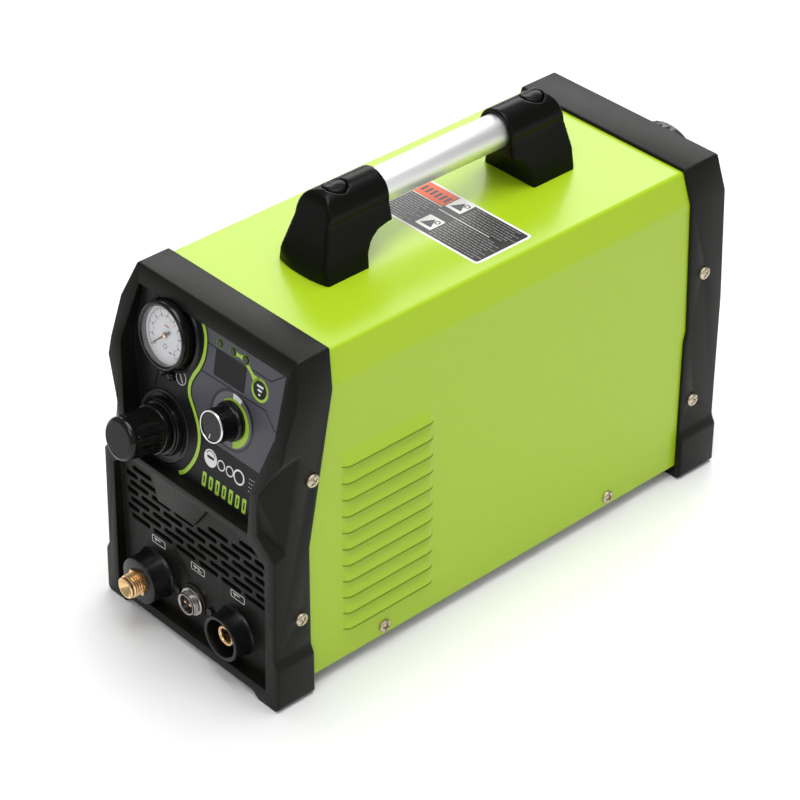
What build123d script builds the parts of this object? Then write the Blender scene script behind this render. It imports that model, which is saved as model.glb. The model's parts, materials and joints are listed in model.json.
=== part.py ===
from build123d import *
import math
import os

# Plasma cutter unit: an air plasma inverter in a folded steel cover between two
# moulded bezels, with a carrying handle on top.  Millimetres, +Z up, front to -Y,
# origin on the floor under the middle of the whole unit.

# ---------------------------------------------------------------- driving sizes
body_width = 155.0
body_height = 228.5
top_width = 141.0
shoulder_z = 206.0
flare = 3.0
flare_z = 31.0
foot_lift = 4.0
bezel_wall = 2.3
knob_reach = 49.5
rear_reach = 362.2
front_y = (knob_reach - rear_reach) / 2
fit_gap = 0.06

half_width = body_width / 2
foot_half = half_width + flare
inner_half = half_width - bezel_wall
cavity_top = body_height - bezel_wall


def station(distance):
    """Y of a point that far behind the top front edge of the front bezel."""
    return front_y + distance


# cover and tray
sheet = 1.0
cover_floor = 9.3
cover_shoulder = shoulder_z - 0.5
cover_top_half = top_width / 2 - 1.6
seam_lap = 12.0

# control panel, leaning back, and the upright connector panel below it
panel_lean = math.radians(10.0)
panel_wall = 2.5
panel = Plane(
    origin=(0, station(-6.5), 180.0),
    x_dir=(1, 0, 0),
    z_dir=(0, -math.cos(panel_lean), math.sin(panel_lean)),
)
lower_floor = -21.0
lower = Plane(origin=(0, station(lower_floor), 60.0), x_dir=(1, 0, 0), z_dir=(0, -1, 0))
rear_floor = 337.5
rear = Plane(origin=(0, station(rear_floor), 100.0), x_dir=(-1, 0, 0), z_dir=(0, 1, 0))

# things on the control panel, as (across, up) on the panel
gauge_at = (-35.0, 18.5)
gauge_radius = 20.0
lens_radius = 21.2
regulator_at = (-34.5, -42.0)
dial_knob_at = (22.5, -10.5)
window_size = (27.0, 16.5)
window_at = (16.4, 18.2)
led_places = [(5.7, 30.8), (16.9, 30.8), (28.2, 30.8)]
led_radius = 2.2

# connectors, as (across, up) on the connector panel
connector_up = -28.6
torch_at = (-40.0, connector_up)
signal_at = (-3.8, connector_up)
earth_at = (34.5, connector_up)

# back of the unit, as (across, up) on the rear panel
switch_at = (-17.5, 94.0)
gland_at = (44.0, 82.0)
inlet_at = (-50.0, 42.0)
fan_at = (0.0, -18.0)
fan_size = 92.0
fan_depth = 25.0

# handle
grip_z = 261.0
grip_radius = 10.8
collar_radius = 14.2
front_collar = 119.6
rear_collar = 216.4
post_half = 22.0


# ---------------------------------------------------------------- outline helpers
def side_outline(points):
    """Closed outline drawn in the YZ plane."""
    with BuildSketch(Plane.YZ) as outline:
        with BuildLine():
            Polyline(*points, close=True)
        make_face()
    return outline.sketch


def front_outline(half_points):
    """Closed outline in the XZ plane, from its right half, top to bottom."""
    left = [(-x, z) for x, z in reversed(half_points)]
    with BuildSketch(Plane.XZ) as outline:
        with BuildLine():
            Polyline(*half_points, *left, close=True)
        make_face()
    return outline.sketch


def plane_outline(plane, points):
    """Closed outline drawn on a plane."""
    with BuildSketch(plane) as outline:
        with BuildLine():
            Polyline(*points, close=True)
        make_face()
    return outline.sketch


def disc(plane, centre, radius, height):
    """Round face on a plane, at a height over it."""
    with BuildSketch(plane.offset(height)) as face:
        with Locations(centre):
            Circle(radius)
    return face.sketch


def hexagon(plane, centre, across_flats, height):
    """Hexagonal face on a plane, at a height over it."""
    with BuildSketch(plane.offset(height)) as face:
        with Locations(centre):
            RegularPolygon(radius=across_flats / 2, side_count=6, major_radius=False)
    return face.sketch


def block(plane, centre, size, height):
    """Rectangular face on a plane, at a height over it."""
    with BuildSketch(plane.offset(height)) as face:
        with Locations(centre):
            Rectangle(*size)
    return face.sketch


def ring_of(radius, count, centre=(0, 0), start=0.0):
    """Points spaced evenly round a circle."""
    step = 2 * math.pi / count
    return [
        (centre[0] + radius * math.cos(start + i * step), centre[1] + radius * math.sin(start + i * step))
        for i in range(count)
    ]


# ---------------------------------------------------------------- front bezel
front_face = [(0, body_height), (-17.0, 181.5), (-25.5, 146.0), (-28.5, 0)]
front_seam = [(0.3, 0), (0.3, 103.0), (23.8, body_height)]
waist_half = 62.8
waist_top = 146.0
waist_bottom = 119.5
cheek_top = 172.0
cheek_bottom = 107.5


def plane_through(a, b, c):
    """Plane through three (across, distance, height) points of the right side, facing forward or up."""
    points = [Vector(x, station(distance), z) for x, distance, z in (a, b, c)]
    facing = (points[1] - points[0]).cross(points[2] - points[0]).normalized()
    if facing.Y - facing.Z > 0:
        facing = -facing
    return Plane(origin=points[0], z_dir=facing)


upper_cheek = plane_through((77.5, -5.9, 173.8), (77.5, -18.1, 112.5), (waist_half, -25.5, waist_top))
lower_cheek = plane_through((77.5, -18.1, 112.5), (waist_half, -25.5, waist_top), (waist_half, -22.8, waist_bottom))
cheek_ledge = plane_through((waist_half, -26.0, waist_bottom), (76.8, -26.5, cheek_bottom), (77.5, -16.0, 111.0))
ridge_z = 113.5
lower_recess = [(53.0, 111.5), (68.7, 101.0), (68.7, 11.0)]
upper_recess = [(64.5, 38.0), (68.3, 2.0), (57.0, -36.0), (54.0, -66.0)]

bezel_outline = [
    (top_width / 2, body_height),
    (half_width, shoulder_z),
    (half_width, flare_z + 6),
    (foot_half, flare_z),
    (foot_half, 3.0),
    (foot_half - 3.0, 0),
    (62.5, 0),
    (57.0, foot_lift),
]

cavity_outline = [
    (cover_top_half, cavity_top),
    (inner_half, cover_shoulder),
    (inner_half, cover_floor),
]


def stationed(points):
    """Side points with their distances turned into Y."""
    return [(station(distance), z) for distance, z in points]


def cheek_wedge(side, skin):
    """The block cut from one front corner at the waist, grown by a skin."""
    corner = [
        (half_width + 5, cheek_top + 9 + skin),
        (half_width, cheek_top + skin),
        (waist_half - skin, waist_top),
        (waist_half - skin, cheek_bottom - 10),
        (half_width + 5, cheek_bottom - 10),
    ]
    with BuildPart() as wedge:
        for cheek in (upper_cheek, lower_cheek):
            with BuildPart(mode=Mode.PRIVATE) as slab:
                with BuildSketch(Plane.XZ.offset(-station(40))):
                    with BuildLine():
                        Polyline(*corner, close=True)
                    make_face()
                extrude(amount=80)
                split(bisect_by=cheek.offset(-skin), keep=Keep.TOP)
                split(bisect_by=cheek_ledge.offset(-skin), keep=Keep.TOP)
            add(slab.part)
        if side < 0:
            mirror(about=Plane.YZ, mode=Mode.REPLACE)
    return wedge.part


inner_front = [
    (40, cover_floor),
    (lower_floor + panel_wall, cover_floor),
    (lower_floor + panel_wall, ridge_z),
    (-15.2, 117.0),
    (3.2, 221.0),
    (3.2, cavity_top),
    (40, cavity_top),
]

with BuildPart() as front_cavity:
    extrude(side_outline(stationed(inner_front)), amount=inner_half, both=True)
    extrude(front_outline(cavity_outline), amount=400, both=True, mode=Mode.INTERSECT)
    for side in (1, -1):
        add(cheek_wedge(side, 2.4), mode=Mode.SUBTRACT)


# vent slots in staggered rows
slot_pitch = 21.0
slot_length = 17.6
slot_height = 3.1
row_pitch = 6.15
top_row = 100.0
row_count = 7
short_slot = 11.0
short_at = 59.2
flap_top = (-36.0, 18.5)
flap_bottom = (-30.5, 2.7)
flap_low = 92.0


def vent_slots():
    """Every slot as (across, height, length)."""
    slots = [(-49.0, top_row, slot_length), (49.0, top_row, slot_length)]
    for row in range(1, row_count):
        height = top_row - row * row_pitch
        if row % 2:
            across = [slot_pitch * i for i in range(-2, 3)]
            slots += [(-short_at, height, short_slot), (short_at, height, short_slot)]
        else:
            across = [slot_pitch * (i + 0.5) for i in range(-3, 3)]
        slots += [(x, height, slot_length) for x in across if row > 1 or abs(x + 10) > 26]
    return slots


with BuildSketch(lower.offset(1)) as slot_faces:
    for across, height, length in vent_slots():
        with Locations((across, height - 60.0)):
            SlotOverall(length, slot_height)

flap_points = [
    (flap_top[0], ridge_z - 60),
    (flap_top[1], ridge_z - 60),
    (flap_bottom[1], flap_low - 60),
    (flap_bottom[0], flap_low - 60),
]
side_screw_places = [(2.8, 152.0), (-7.4, 58.2)]
side_screw_hole = 2.2

with BuildPart() as front_bezel:
    extrude(side_outline(stationed(front_face + front_seam)), amount=foot_half, both=True)
    extrude(front_outline(bezel_outline), amount=400, both=True, mode=Mode.INTERSECT)
    for side in (1, -1):
        add(cheek_wedge(side, 0.0), mode=Mode.SUBTRACT)
    add(front_cavity.part, mode=Mode.SUBTRACT)
    left_up = [(-x, y) for x, y in reversed(upper_recess)]
    extrude(plane_outline(panel, upper_recess + left_up), amount=30, mode=Mode.SUBTRACT)
    low = [(x, z - 60) for x, z in lower_recess]
    low_left = [(-x, z) for x, z in reversed(low)]
    extrude(plane_outline(lower, low + low_left), amount=20, mode=Mode.SUBTRACT)
    extrude(plane_outline(lower, flap_points), amount=3.5)
    extrude(slot_faces.sketch, amount=-8, mode=Mode.SUBTRACT)
    extrude(disc(panel, gauge_at, gauge_radius + 0.2, 5), amount=-20, mode=Mode.SUBTRACT)
    extrude(disc(panel, gauge_at, lens_radius + 0.4, 0.8), amount=20, mode=Mode.SUBTRACT)
    extrude(disc(panel, regulator_at, 12.2, 5), amount=-20, mode=Mode.SUBTRACT)
    extrude(disc(panel, dial_knob_at, 3.7, 5), amount=-20, mode=Mode.SUBTRACT)
    extrude(block(panel, window_at, window_size, 5), amount=-20, mode=Mode.SUBTRACT)
    for place in led_places:
        extrude(disc(panel, place, led_radius, 5), amount=-20, mode=Mode.SUBTRACT)
    extrude(disc(lower, torch_at, 10.0, 5), amount=-20, mode=Mode.SUBTRACT)
    extrude(disc(lower, signal_at, 7.0, 5), amount=-20, mode=Mode.SUBTRACT)
    extrude(disc(lower, earth_at, 11.0, 5), amount=-20, mode=Mode.SUBTRACT)
    for offset_x in (-15.2, 15.2):
        place = (signal_at[0] + offset_x, connector_up)
        extrude(disc(lower, place, 1.6, 5), amount=-20, mode=Mode.SUBTRACT)
    for distance, z in side_screw_places:
        with Locations(Location((0, station(distance), z), (0, 90, 0))):
            Cylinder(side_screw_hole, 200, mode=Mode.SUBTRACT)


# ---------------------------------------------------------------- rear bezel
rear_face = [(338.5, body_height), (343.5, 125.0), (343.5, 0)]
rear_seam = [(311.8, 0), (311.8, 105.0), (313.5, 112.0), (308.5, body_height)]
rear_recess_half = 68.0
rear_recess_top = 212.0
rear_recess_bottom = 16.0
rear_screw_places = [(324.5, 152.0), (321.7, 57.8)]
rear_inner = [
    (300, cover_floor),
    (rear_floor - panel_wall, cover_floor),
    (rear_floor - panel_wall, cavity_top - 8),
    (332.0, cavity_top),
    (300, cavity_top),
]

with BuildPart() as rear_cavity:
    extrude(side_outline(stationed(rear_inner)), amount=inner_half, both=True)
    extrude(front_outline(cavity_outline), amount=400, both=True, mode=Mode.INTERSECT)


def grille_slots():
    """Slots of the fan grille: (across, up, length), as long as the fan's circle allows."""
    slots = []
    reach = fan_size / 2 - 3
    for row in range(-6, 7):
        up = row * 6.5
        half = math.sqrt(max(reach**2 - up**2, 0.0))
        for side in (-1, 1):
            length = half - 3.0
            if length > 8:
                slots.append((fan_at[0] + side * (3.0 + length / 2), fan_at[1] + up, length))
    return slots


with BuildSketch(rear.offset(1)) as grille_faces:
    for across, up, length in grille_slots():
        with Locations((across, up)):
            SlotOverall(length, 4.2)

with BuildPart() as rear_bezel:
    extrude(side_outline(stationed(rear_face + rear_seam)), amount=foot_half, both=True)
    extrude(front_outline(bezel_outline), amount=600, both=True, mode=Mode.INTERSECT)
    add(rear_cavity.part, mode=Mode.SUBTRACT)
    rear_half = [(rear_recess_half, rear_recess_top - 100), (rear_recess_half, rear_recess_bottom - 100)]
    rear_left = [(-x, z) for x, z in reversed(rear_half)]
    extrude(plane_outline(rear, rear_half + rear_left), amount=20, mode=Mode.SUBTRACT)
    extrude(grille_faces.sketch, amount=-8, mode=Mode.SUBTRACT)
    extrude(disc(rear, switch_at, 6.0, 5), amount=-20, mode=Mode.SUBTRACT)
    extrude(disc(rear, switch_at, 29.0, 0), amount=20, mode=Mode.SUBTRACT)
    extrude(disc(rear, gland_at, 9.0, 5), amount=-20, mode=Mode.SUBTRACT)
    extrude(disc(rear, inlet_at, 5.2, 5), amount=-20, mode=Mode.SUBTRACT)
    for distance, z in rear_screw_places:
        with Locations(Location((0, station(distance), z), (0, 90, 0))):
            Cylinder(side_screw_hole, 200, mode=Mode.SUBTRACT)


# ---------------------------------------------------------------- cover
louvre_count = 11
louvre_pitch = 11.74
louvre_first = 30.0
louvre_height = 8.6
louvre_rise = 2.6
louvre_start = 27.0
louvre_end = 98.0
cover_screw_z = 15.6
cover_screw_stations = [59.2, 249.4]
cover_side = [
    (0.3 - seam_lap, cover_floor),
    (0.3 - seam_lap, 103.0),
    (22.0 - seam_lap, 226.0 + 1),
    (326.0, 226.0 + 1),
    (326.0, cover_floor),
]


def shell_outline(shrink):
    """Half outline of the cover, pulled in by a thickness."""
    return [
        (cover_top_half - 0.6 * shrink, cavity_top - shrink),
        (inner_half - shrink, cover_shoulder - 0.15 * shrink),
        (inner_half - shrink, cover_floor - 20 * min(shrink, 1.0)),
    ]


def louvre_wedge(z, shrink):
    """One louvre's hood on the right side, solid, pulled in by a thickness."""
    start = station(louvre_start) + shrink
    length = louvre_end - louvre_start - 2 * shrink
    profile = [
        (inner_half - sheet - 0.5, z + louvre_height - shrink),
        (inner_half, z + louvre_height - shrink),
        (inner_half + louvre_rise - shrink, z),
        (inner_half - sheet - 0.5, z),
    ]
    with BuildPart() as hood:
        with BuildSketch(Plane.XZ.offset(-start)):
            with BuildLine():
                Polyline(*profile, close=True)
            make_face()
        extrude(amount=-length)
    return hood.part


with BuildPart() as cover:
    extrude(side_outline(stationed(cover_side)), amount=inner_half, both=True)
    extrude(front_outline(shell_outline(0.0)), amount=600, both=True, mode=Mode.INTERSECT)
    extrude(front_outline(shell_outline(sheet)), amount=600, both=True, mode=Mode.SUBTRACT)
    for index in range(louvre_count):
        hood = louvre_wedge(louvre_first + index * louvre_pitch, 0.0)
        core = louvre_wedge(louvre_first + index * louvre_pitch - 0.01, 0.7)
        for part, mode in ((hood, Mode.ADD), (core, Mode.SUBTRACT)):
            add(part, mode=mode)
            add(part.mirror(Plane.YZ), mode=mode)
    extrude(front_outline(shell_outline(sheet)), amount=600, both=True, mode=Mode.SUBTRACT)
    for distance in cover_screw_stations:
        with Locations(Location((0, station(distance), cover_screw_z), (0, 90, 0))):
            Cylinder(side_screw_hole, 200, mode=Mode.SUBTRACT)
    for distance, z in side_screw_places + rear_screw_places:
        with Locations(Location((0, station(distance), z), (0, 90, 0))):
            Cylinder(side_screw_hole, 200, mode=Mode.SUBTRACT)
    for distance in (front_collar - 30.0, rear_collar + 30.0):
        with Locations((0, station(distance), 226.0)):
            Cylinder(3.2, 10, mode=Mode.SUBTRACT)


# ---------------------------------------------------------------- base tray
tray_half = inner_half - sheet
tray_flange = 24.0
tray_length = 326.0 + 12.0
tray_floor = cover_floor + 1.2
deck_z = 128.0
deck_start = 48.0
deck_length = 232.0
choke_station = 26.0
choke_across = -12.0
choke_z = 84.0
choke_radius = 30.0
pillar_places = [(x, station(d)) for x in (-58.0, 58.0) for d in (deck_start + 8, deck_start + deck_length - 8)]
with BuildPart() as base_tray:
    with BuildSketch(Plane.XZ.offset(-station(-12.0))):
        with Locations((0, cover_floor)):
            Rectangle(2 * tray_half, tray_flange, align=(Align.CENTER, Align.MIN))
        with Locations((0, cover_floor + 1.2)):
            Rectangle(2 * tray_half - 2.4, tray_flange, align=(Align.CENTER, Align.MIN), mode=Mode.SUBTRACT)
    extrude(amount=-tray_length)
    with BuildSketch(Plane.XY.offset(cover_floor)):
        with Locations(*pillar_places):
            RegularPolygon(radius=3.5, side_count=6, major_radius=False)
    extrude(amount=deck_z - cover_floor)
    with BuildSketch(Plane.XY.offset(cover_floor)):
        with Locations((choke_across, station(choke_station))):
            Rectangle(16.0, 18.0)
    extrude(amount=choke_z - choke_radius - cover_floor)
    for distance in cover_screw_stations:
        with Locations(Location((0, station(distance), cover_screw_z), (0, 90, 0))):
            Cylinder(side_screw_hole, 200, mode=Mode.SUBTRACT)


# ---------------------------------------------------------------- handle
post_base_z = cavity_top
plug_reach = 30.0
plug_radius = 7.2


def post(collar_y, outward, base_start, base_end):
    """One handle post; outward is -1 towards the front and 1 towards the back."""

    def side_point(reach, z):
        return (station(collar_y) + outward * reach, z)

    bottom = grip_z - collar_radius
    top = grip_z + collar_radius
    nose = plug_reach + plug_radius + 0.8
    shoulder = nose + 0.4 * (base_end - nose)
    with BuildPart() as solid:
        with BuildSketch(Plane.YZ):
            with BuildLine():
                Polyline(
                    side_point(base_start, post_base_z),
                    side_point(base_end, post_base_z),
                    side_point(shoulder, top - 9.0),
                    side_point(shoulder - 1.4, top - 4.6),
                    side_point(shoulder - 3.6, top - 1.5),
                    side_point(nose, top),
                    side_point(0, top),
                    side_point(0, bottom),
                    side_point(3.0, bottom),
                    side_point(0.55 * base_start, bottom - 2.2),
                    side_point(0.80 * base_start, bottom - 6.5),
                    side_point(0.95 * base_start, bottom - 12.5),
                    side_point(base_start, post_base_z),
                    close=True,
                )
            make_face()
        extrude(amount=post_half, both=True)
        with BuildSketch(Plane.XZ):
            with Locations((0, grip_z)):
                Circle(collar_radius)
            with BuildLine():
                Polyline(
                    (post_half, post_base_z),
                    (collar_radius - 0.2, grip_z - 2.5),
                    (collar_radius - 0.6, grip_z + 1.0),
                    (-collar_radius + 0.6, grip_z + 1.0),
                    (-collar_radius + 0.2, grip_z - 2.5),
                    (-post_half, post_base_z),
                    close=True,
                )
            make_face()
        extrude(amount=400, both=True, mode=Mode.INTERSECT)
        near = station(collar_y) - outward * 5.0
        far = station(collar_y) + outward * (base_end - 0.3)
        bow = 3.4
        with BuildSketch(Plane.XY.offset(post_base_z)):
            with BuildLine():
                Polyline(
                    (-post_half, far - outward * bow),
                    (-post_half, near),
                    (post_half, near),
                    (post_half, far - outward * bow),
                )
                ThreePointArc((post_half, far - outward * bow), (0, far), (-post_half, far - outward * bow))
            make_face()
        extrude(amount=100, mode=Mode.INTERSECT)
        centre = station(collar_y) + outward * 11.0
        with Locations(Location((0, centre, grip_z), (90, 0, 0))):
            Cylinder(grip_radius, 22.0, mode=Mode.SUBTRACT)
        plug_y = station(collar_y) + outward * plug_reach
        with Locations((0, plug_y, grip_z + collar_radius)):
            Cylinder(plug_radius, 24.0, mode=Mode.SUBTRACT)
        with Locations((0, plug_y, grip_z)):
            Cylinder(3.2, 100, mode=Mode.SUBTRACT)
    return solid


handle_post_front = post(front_collar, -1, 22.6, 58.0)
handle_post_rear = post(rear_collar, 1, 12.6, 50.6)

tube_length = rear_collar - front_collar + 44.0
with BuildPart() as handle_tube:
    with Locations(Location((0, station((front_collar + rear_collar) / 2), grip_z), (90, 0, 0))):
        Cylinder(grip_radius, tube_length)
        Cylinder(grip_radius - 1.5, tube_length, mode=Mode.SUBTRACT)

plug_stations = [front_collar - plug_reach, rear_collar + plug_reach]
with BuildPart() as handle_plugs:
    for distance in plug_stations:
        with Locations((0, station(distance), grip_z + collar_radius - 1.5)):
            Cylinder(plug_radius - 0.1, 3.2)

screw_seat = grip_z + collar_radius - 12.0
with BuildPart() as handle_screws:
    for distance in plug_stations:
        with Locations((0, station(distance), screw_seat)):
            Cylinder(5.0, 4.0, align=(Align.CENTER, Align.CENTER, Align.MIN))
            Cylinder(3.0, 48.0, align=(Align.CENTER, Align.CENTER, Align.MAX))

with BuildPart() as handle_nuts:
    for distance in plug_stations:
        with BuildSketch(Plane.XY.offset(cavity_top - sheet)):
            with Locations((0, station(distance))):
                Circle(9.0)
                Circle(3.0, mode=Mode.SUBTRACT)
        extrude(amount=-1.2)
        with BuildSketch(Plane.XY.offset(cavity_top - sheet - 1.2)):
            with Locations((0, station(distance))):
                RegularPolygon(radius=5.0, side_count=6, major_radius=False)
                Circle(3.0, mode=Mode.SUBTRACT)
        extrude(amount=-5.0)


# ---------------------------------------------------------------- screws
def cross_screw(outer_x, y, z, length, side):
    """Pan head screw entering from one side, with a cross in its head."""
    turn = 90 if side > 0 else -90
    with BuildPart() as screw:
        with Locations(Location((side * outer_x, y, z), (0, turn, 0))):
            Cylinder(4.2, 2.6, align=(Align.CENTER, Align.CENTER, Align.MIN))
            Cylinder(2.0, length, align=(Align.CENTER, Align.CENTER, Align.MAX))
        with Locations(Location((side * (outer_x + 2.6), y, z), (0, turn, 0))):
            Box(4.4, 0.8, 2.4, mode=Mode.SUBTRACT)
            Box(0.8, 4.4, 2.4, mode=Mode.SUBTRACT)
    return screw.part


def screw_group(outer_x, places, length):
    """Screws on both sides at every (station, height)."""
    with BuildPart() as group:
        for distance, z in places:
            for side in (1, -1):
                add(cross_screw(outer_x, station(distance), z, length, side))
    return group


bezel_screws = screw_group(half_width, side_screw_places + rear_screw_places, 9.0)
cover_screws = screw_group(inner_half, [(d, cover_screw_z) for d in cover_screw_stations], 8.0)


def clip_nut_group(places):
    """Plate nuts behind the cover's screw holes."""
    with BuildPart() as group:
        for distance, z in places:
            for side in (1, -1):
                middle = side * (inner_half - sheet - 1.5)
                with Locations(Location((middle, station(distance), z), (0, 90, 0))):
                    Box(10.0, 9.0, 3.0)
                    Cylinder(2.0, 6.0, mode=Mode.SUBTRACT)
    return group


clip_nuts = clip_nut_group(side_screw_places + rear_screw_places)


# ---------------------------------------------------------------- control panel film
film = 0.5
film_points = [(63.8, 37.2), (67.4, 2.0), (56.2, -35.7), (53.4, -64.5)]
with BuildPart() as control_film:
    extrude(plane_outline(panel, film_points + [(-x, y) for x, y in reversed(film_points)]), amount=film)
    extrude(disc(panel, gauge_at, gauge_radius + 1.5, 1), amount=-2, mode=Mode.SUBTRACT)
    extrude(disc(panel, regulator_at, 21.8, 1), amount=-2, mode=Mode.SUBTRACT)
    neck = [(-43.0, 0.0), (-28.0, 0.0), (-25.0, -24.0), (-46.0, -24.0)]
    extrude(plane_outline(panel, neck), amount=film, mode=Mode.SUBTRACT)
    extrude(disc(panel, dial_knob_at, 5.0, 1), amount=-2, mode=Mode.SUBTRACT)
    extrude(block(panel, window_at, window_size, 1), amount=-2, mode=Mode.SUBTRACT)
    for place in led_places:
        extrude(disc(panel, place, led_radius, 1), amount=-2, mode=Mode.SUBTRACT)

with BuildPart() as display_window:
    extrude(block(panel, window_at, (window_size[0] - 0.1, window_size[1] - 0.1), -panel_wall), amount=2.9)

with BuildPart() as indicator_lights:
    for place in led_places:
        extrude(disc(panel, place, led_radius - 0.05, -6.0), amount=7.2)


# ---------------------------------------------------------------- pressure gauge
gauge_front = 8.2
gauge_depth = 22.0
with BuildPart() as gauge_case:
    extrude(disc(panel, gauge_at, gauge_radius, -gauge_depth), amount=gauge_depth + gauge_front)
    extrude(disc(panel, gauge_at, gauge_radius - 1.2, 1.0), amount=20, mode=Mode.SUBTRACT)
    extrude(disc(panel, gauge_at, 4.8, -gauge_depth), amount=6.0, mode=Mode.SUBTRACT)

with BuildPart() as gauge_dial:
    extrude(disc(panel, gauge_at, gauge_radius - 1.3, 4.6), amount=0.8)
    extrude(disc(panel, gauge_at, gauge_radius - 3.0, 1.0), amount=3.6)
    extrude(disc(panel, gauge_at, 0.85 + fit_gap, 2.0), amount=6.0, mode=Mode.SUBTRACT)

needle_length = 14.5
needle_angle = math.radians(222.0)


def needle_point(along, aside):
    """A point of the needle at rest, on the panel."""
    cos_a = math.cos(needle_angle)
    sin_a = math.sin(needle_angle)
    return (gauge_at[0] + along * cos_a - aside * sin_a, gauge_at[1] + along * sin_a + aside * cos_a)


needle_outline = [
    needle_point(-5.0, -0.9),
    needle_point(-5.0, 0.9),
    needle_point(0, 0.7),
    needle_point(needle_length, 0.15),
    needle_point(needle_length, -0.15),
    needle_point(0, -0.7),
]
with BuildPart() as gauge_needle:
    extrude(plane_outline(panel.offset(6.0), needle_outline), amount=0.4)
    extrude(disc(panel, gauge_at, 1.8, 5.9), amount=0.8)
    extrude(disc(panel, gauge_at, 0.85, 3.0), amount=3.0)

with BuildPart() as gauge_lens:
    extrude(disc(panel, gauge_at, lens_radius, 1.5), amount=8.7)
    extrude(disc(panel, gauge_at, gauge_radius, 1.0), amount=8.0, mode=Mode.SUBTRACT)
    chamfer(faces().sort_by(Axis((0, 0, 0), panel.z_dir))[-1].outer_wire().edges(), 1.6)

with BuildPart() as gauge_stem:
    extrude(disc(panel, gauge_at, 4.7, -gauge_depth), amount=5.9)
    extrude(hexagon(panel, gauge_at, 12.0, -gauge_depth - 6.0), amount=6.0)
    extrude(disc(panel, gauge_at, 4.8, -gauge_depth - 16.0), amount=10.0)
    extrude(disc(panel, gauge_at, 1.5, -gauge_depth - 17.0), amount=18.0, mode=Mode.SUBTRACT)

with BuildPart() as gauge_clamp_screws:
    for across in (gauge_at[0] - 3.8, gauge_at[0] + 3.8):
        extrude(disc(panel, (across, -7.5), 2.7, 0.0), amount=3.4)


# ---------------------------------------------------------------- pressure regulator
knob_front = 34.0
knob_back = 6.0
pull_travel = 4.0
with BuildPart() as regulator_body:
    extrude(disc(panel, regulator_at, 16.0, -38.0), amount=38.0 - panel_wall)
    extrude(disc(panel, regulator_at, 12.0, -panel_wall), amount=panel_wall + 5.0)
    extrude(block(panel, regulator_at, (30.0, 30.0), -60.0), amount=24.0)
    extrude(disc(panel, regulator_at, 3.4, -30.0), amount=60.0, mode=Mode.SUBTRACT)

with BuildPart() as regulator_ring:
    extrude(disc(panel, regulator_at, 17.6, 0.0), amount=4.4)
    extrude(disc(panel, regulator_at, 12.1, -1.0), amount=8.0, mode=Mode.SUBTRACT)
    with BuildSketch(panel.offset(-1.0)):
        with Locations(*ring_of(17.9, 12, regulator_at)):
            Circle(1.5)
    extrude(amount=8.0, mode=Mode.SUBTRACT)

with BuildPart() as regulator_spindle:
    extrude(disc(panel, regulator_at, 3.4 - fit_gap, -28.0), amount=28.0 + 20.0)
    extrude(block(panel, regulator_at, (9.0, 4.0), 8.0), amount=12.0)

rib_count = 24
with BuildPart() as regulator_knob:
    with BuildSketch(panel.offset(knob_back)):
        with Locations(regulator_at):
            Circle(15.2)
    with BuildSketch(panel.offset(knob_front - 1.5)):
        with Locations(regulator_at):
            Circle(13.6)
    loft()
    extrude(disc(panel, regulator_at, 12.6, knob_front - 1.5), amount=1.5)
    with BuildSketch(panel.offset(knob_back)):
        with Locations(*ring_of(15.4, rib_count, regulator_at)):
            Circle(0.9)
    extrude(amount=knob_front - knob_back - 6.0, mode=Mode.SUBTRACT)
    extrude(disc(panel, regulator_at, 12.6, knob_back), amount=4.0, mode=Mode.SUBTRACT)
    extrude(disc(panel, regulator_at, 3.4 + fit_gap, knob_back), amount=20.0, mode=Mode.SUBTRACT)
    slot_size = (9.0 + 2 * fit_gap, 4.0 + 2 * fit_gap)
    extrude(block(panel, regulator_at, slot_size, knob_back), amount=20.0, mode=Mode.SUBTRACT)


# ---------------------------------------------------------------- current knob
cap_height = 16.0
with BuildPart() as current_knob:
    extrude(disc(panel, dial_knob_at, 12.0, 1.0), amount=2.2)
    with BuildSketch(panel.offset(3.2)):
        with Locations(dial_knob_at):
            Circle(10.6)
    with BuildSketch(panel.offset(cap_height - 1.2)):
        with Locations(dial_knob_at):
            Circle(9.7)
    loft()
    extrude(disc(panel, dial_knob_at, 8.8, cap_height - 1.2), amount=0.8)
    with BuildSketch(panel.offset(3.2)):
        with Locations(*ring_of(10.9, 18, dial_knob_at)):
            Circle(0.8)
    extrude(amount=9.5, mode=Mode.SUBTRACT)
    extrude(disc(panel, dial_knob_at, 3.0, 1.0), amount=11.0, mode=Mode.SUBTRACT)
    extrude(disc(panel, dial_knob_at, 6.5, 1.0), amount=3.0, mode=Mode.SUBTRACT)

with BuildPart() as current_knob_ring:
    extrude(disc(panel, dial_knob_at, 9.7, cap_height - 1.2), amount=1.2)
    extrude(disc(panel, dial_knob_at, 8.8, cap_height - 1.2), amount=1.2, mode=Mode.SUBTRACT)

with BuildPart() as potentiometer:
    extrude(disc(panel, dial_knob_at, 8.5, -11.8), amount=11.8 - panel_wall)
    extrude(disc(panel, dial_knob_at, 3.5, -panel_wall), amount=panel_wall + 3.4)
    extrude(disc(panel, dial_knob_at, 2.6 + fit_gap, -9.0), amount=20.0, mode=Mode.SUBTRACT)

with BuildPart() as potentiometer_shaft:
    extrude(disc(panel, dial_knob_at, 2.6, -8.5), amount=8.5 + 4.2)
    extrude(disc(panel, dial_knob_at, 3.0, 4.2), amount=7.8)

with BuildPart() as potentiometer_nut:
    extrude(hexagon(panel, dial_knob_at, 9.5, 0.5), amount=2.0)
    extrude(disc(panel, dial_knob_at, 3.5, 0.0), amount=6.0, mode=Mode.SUBTRACT)

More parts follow.
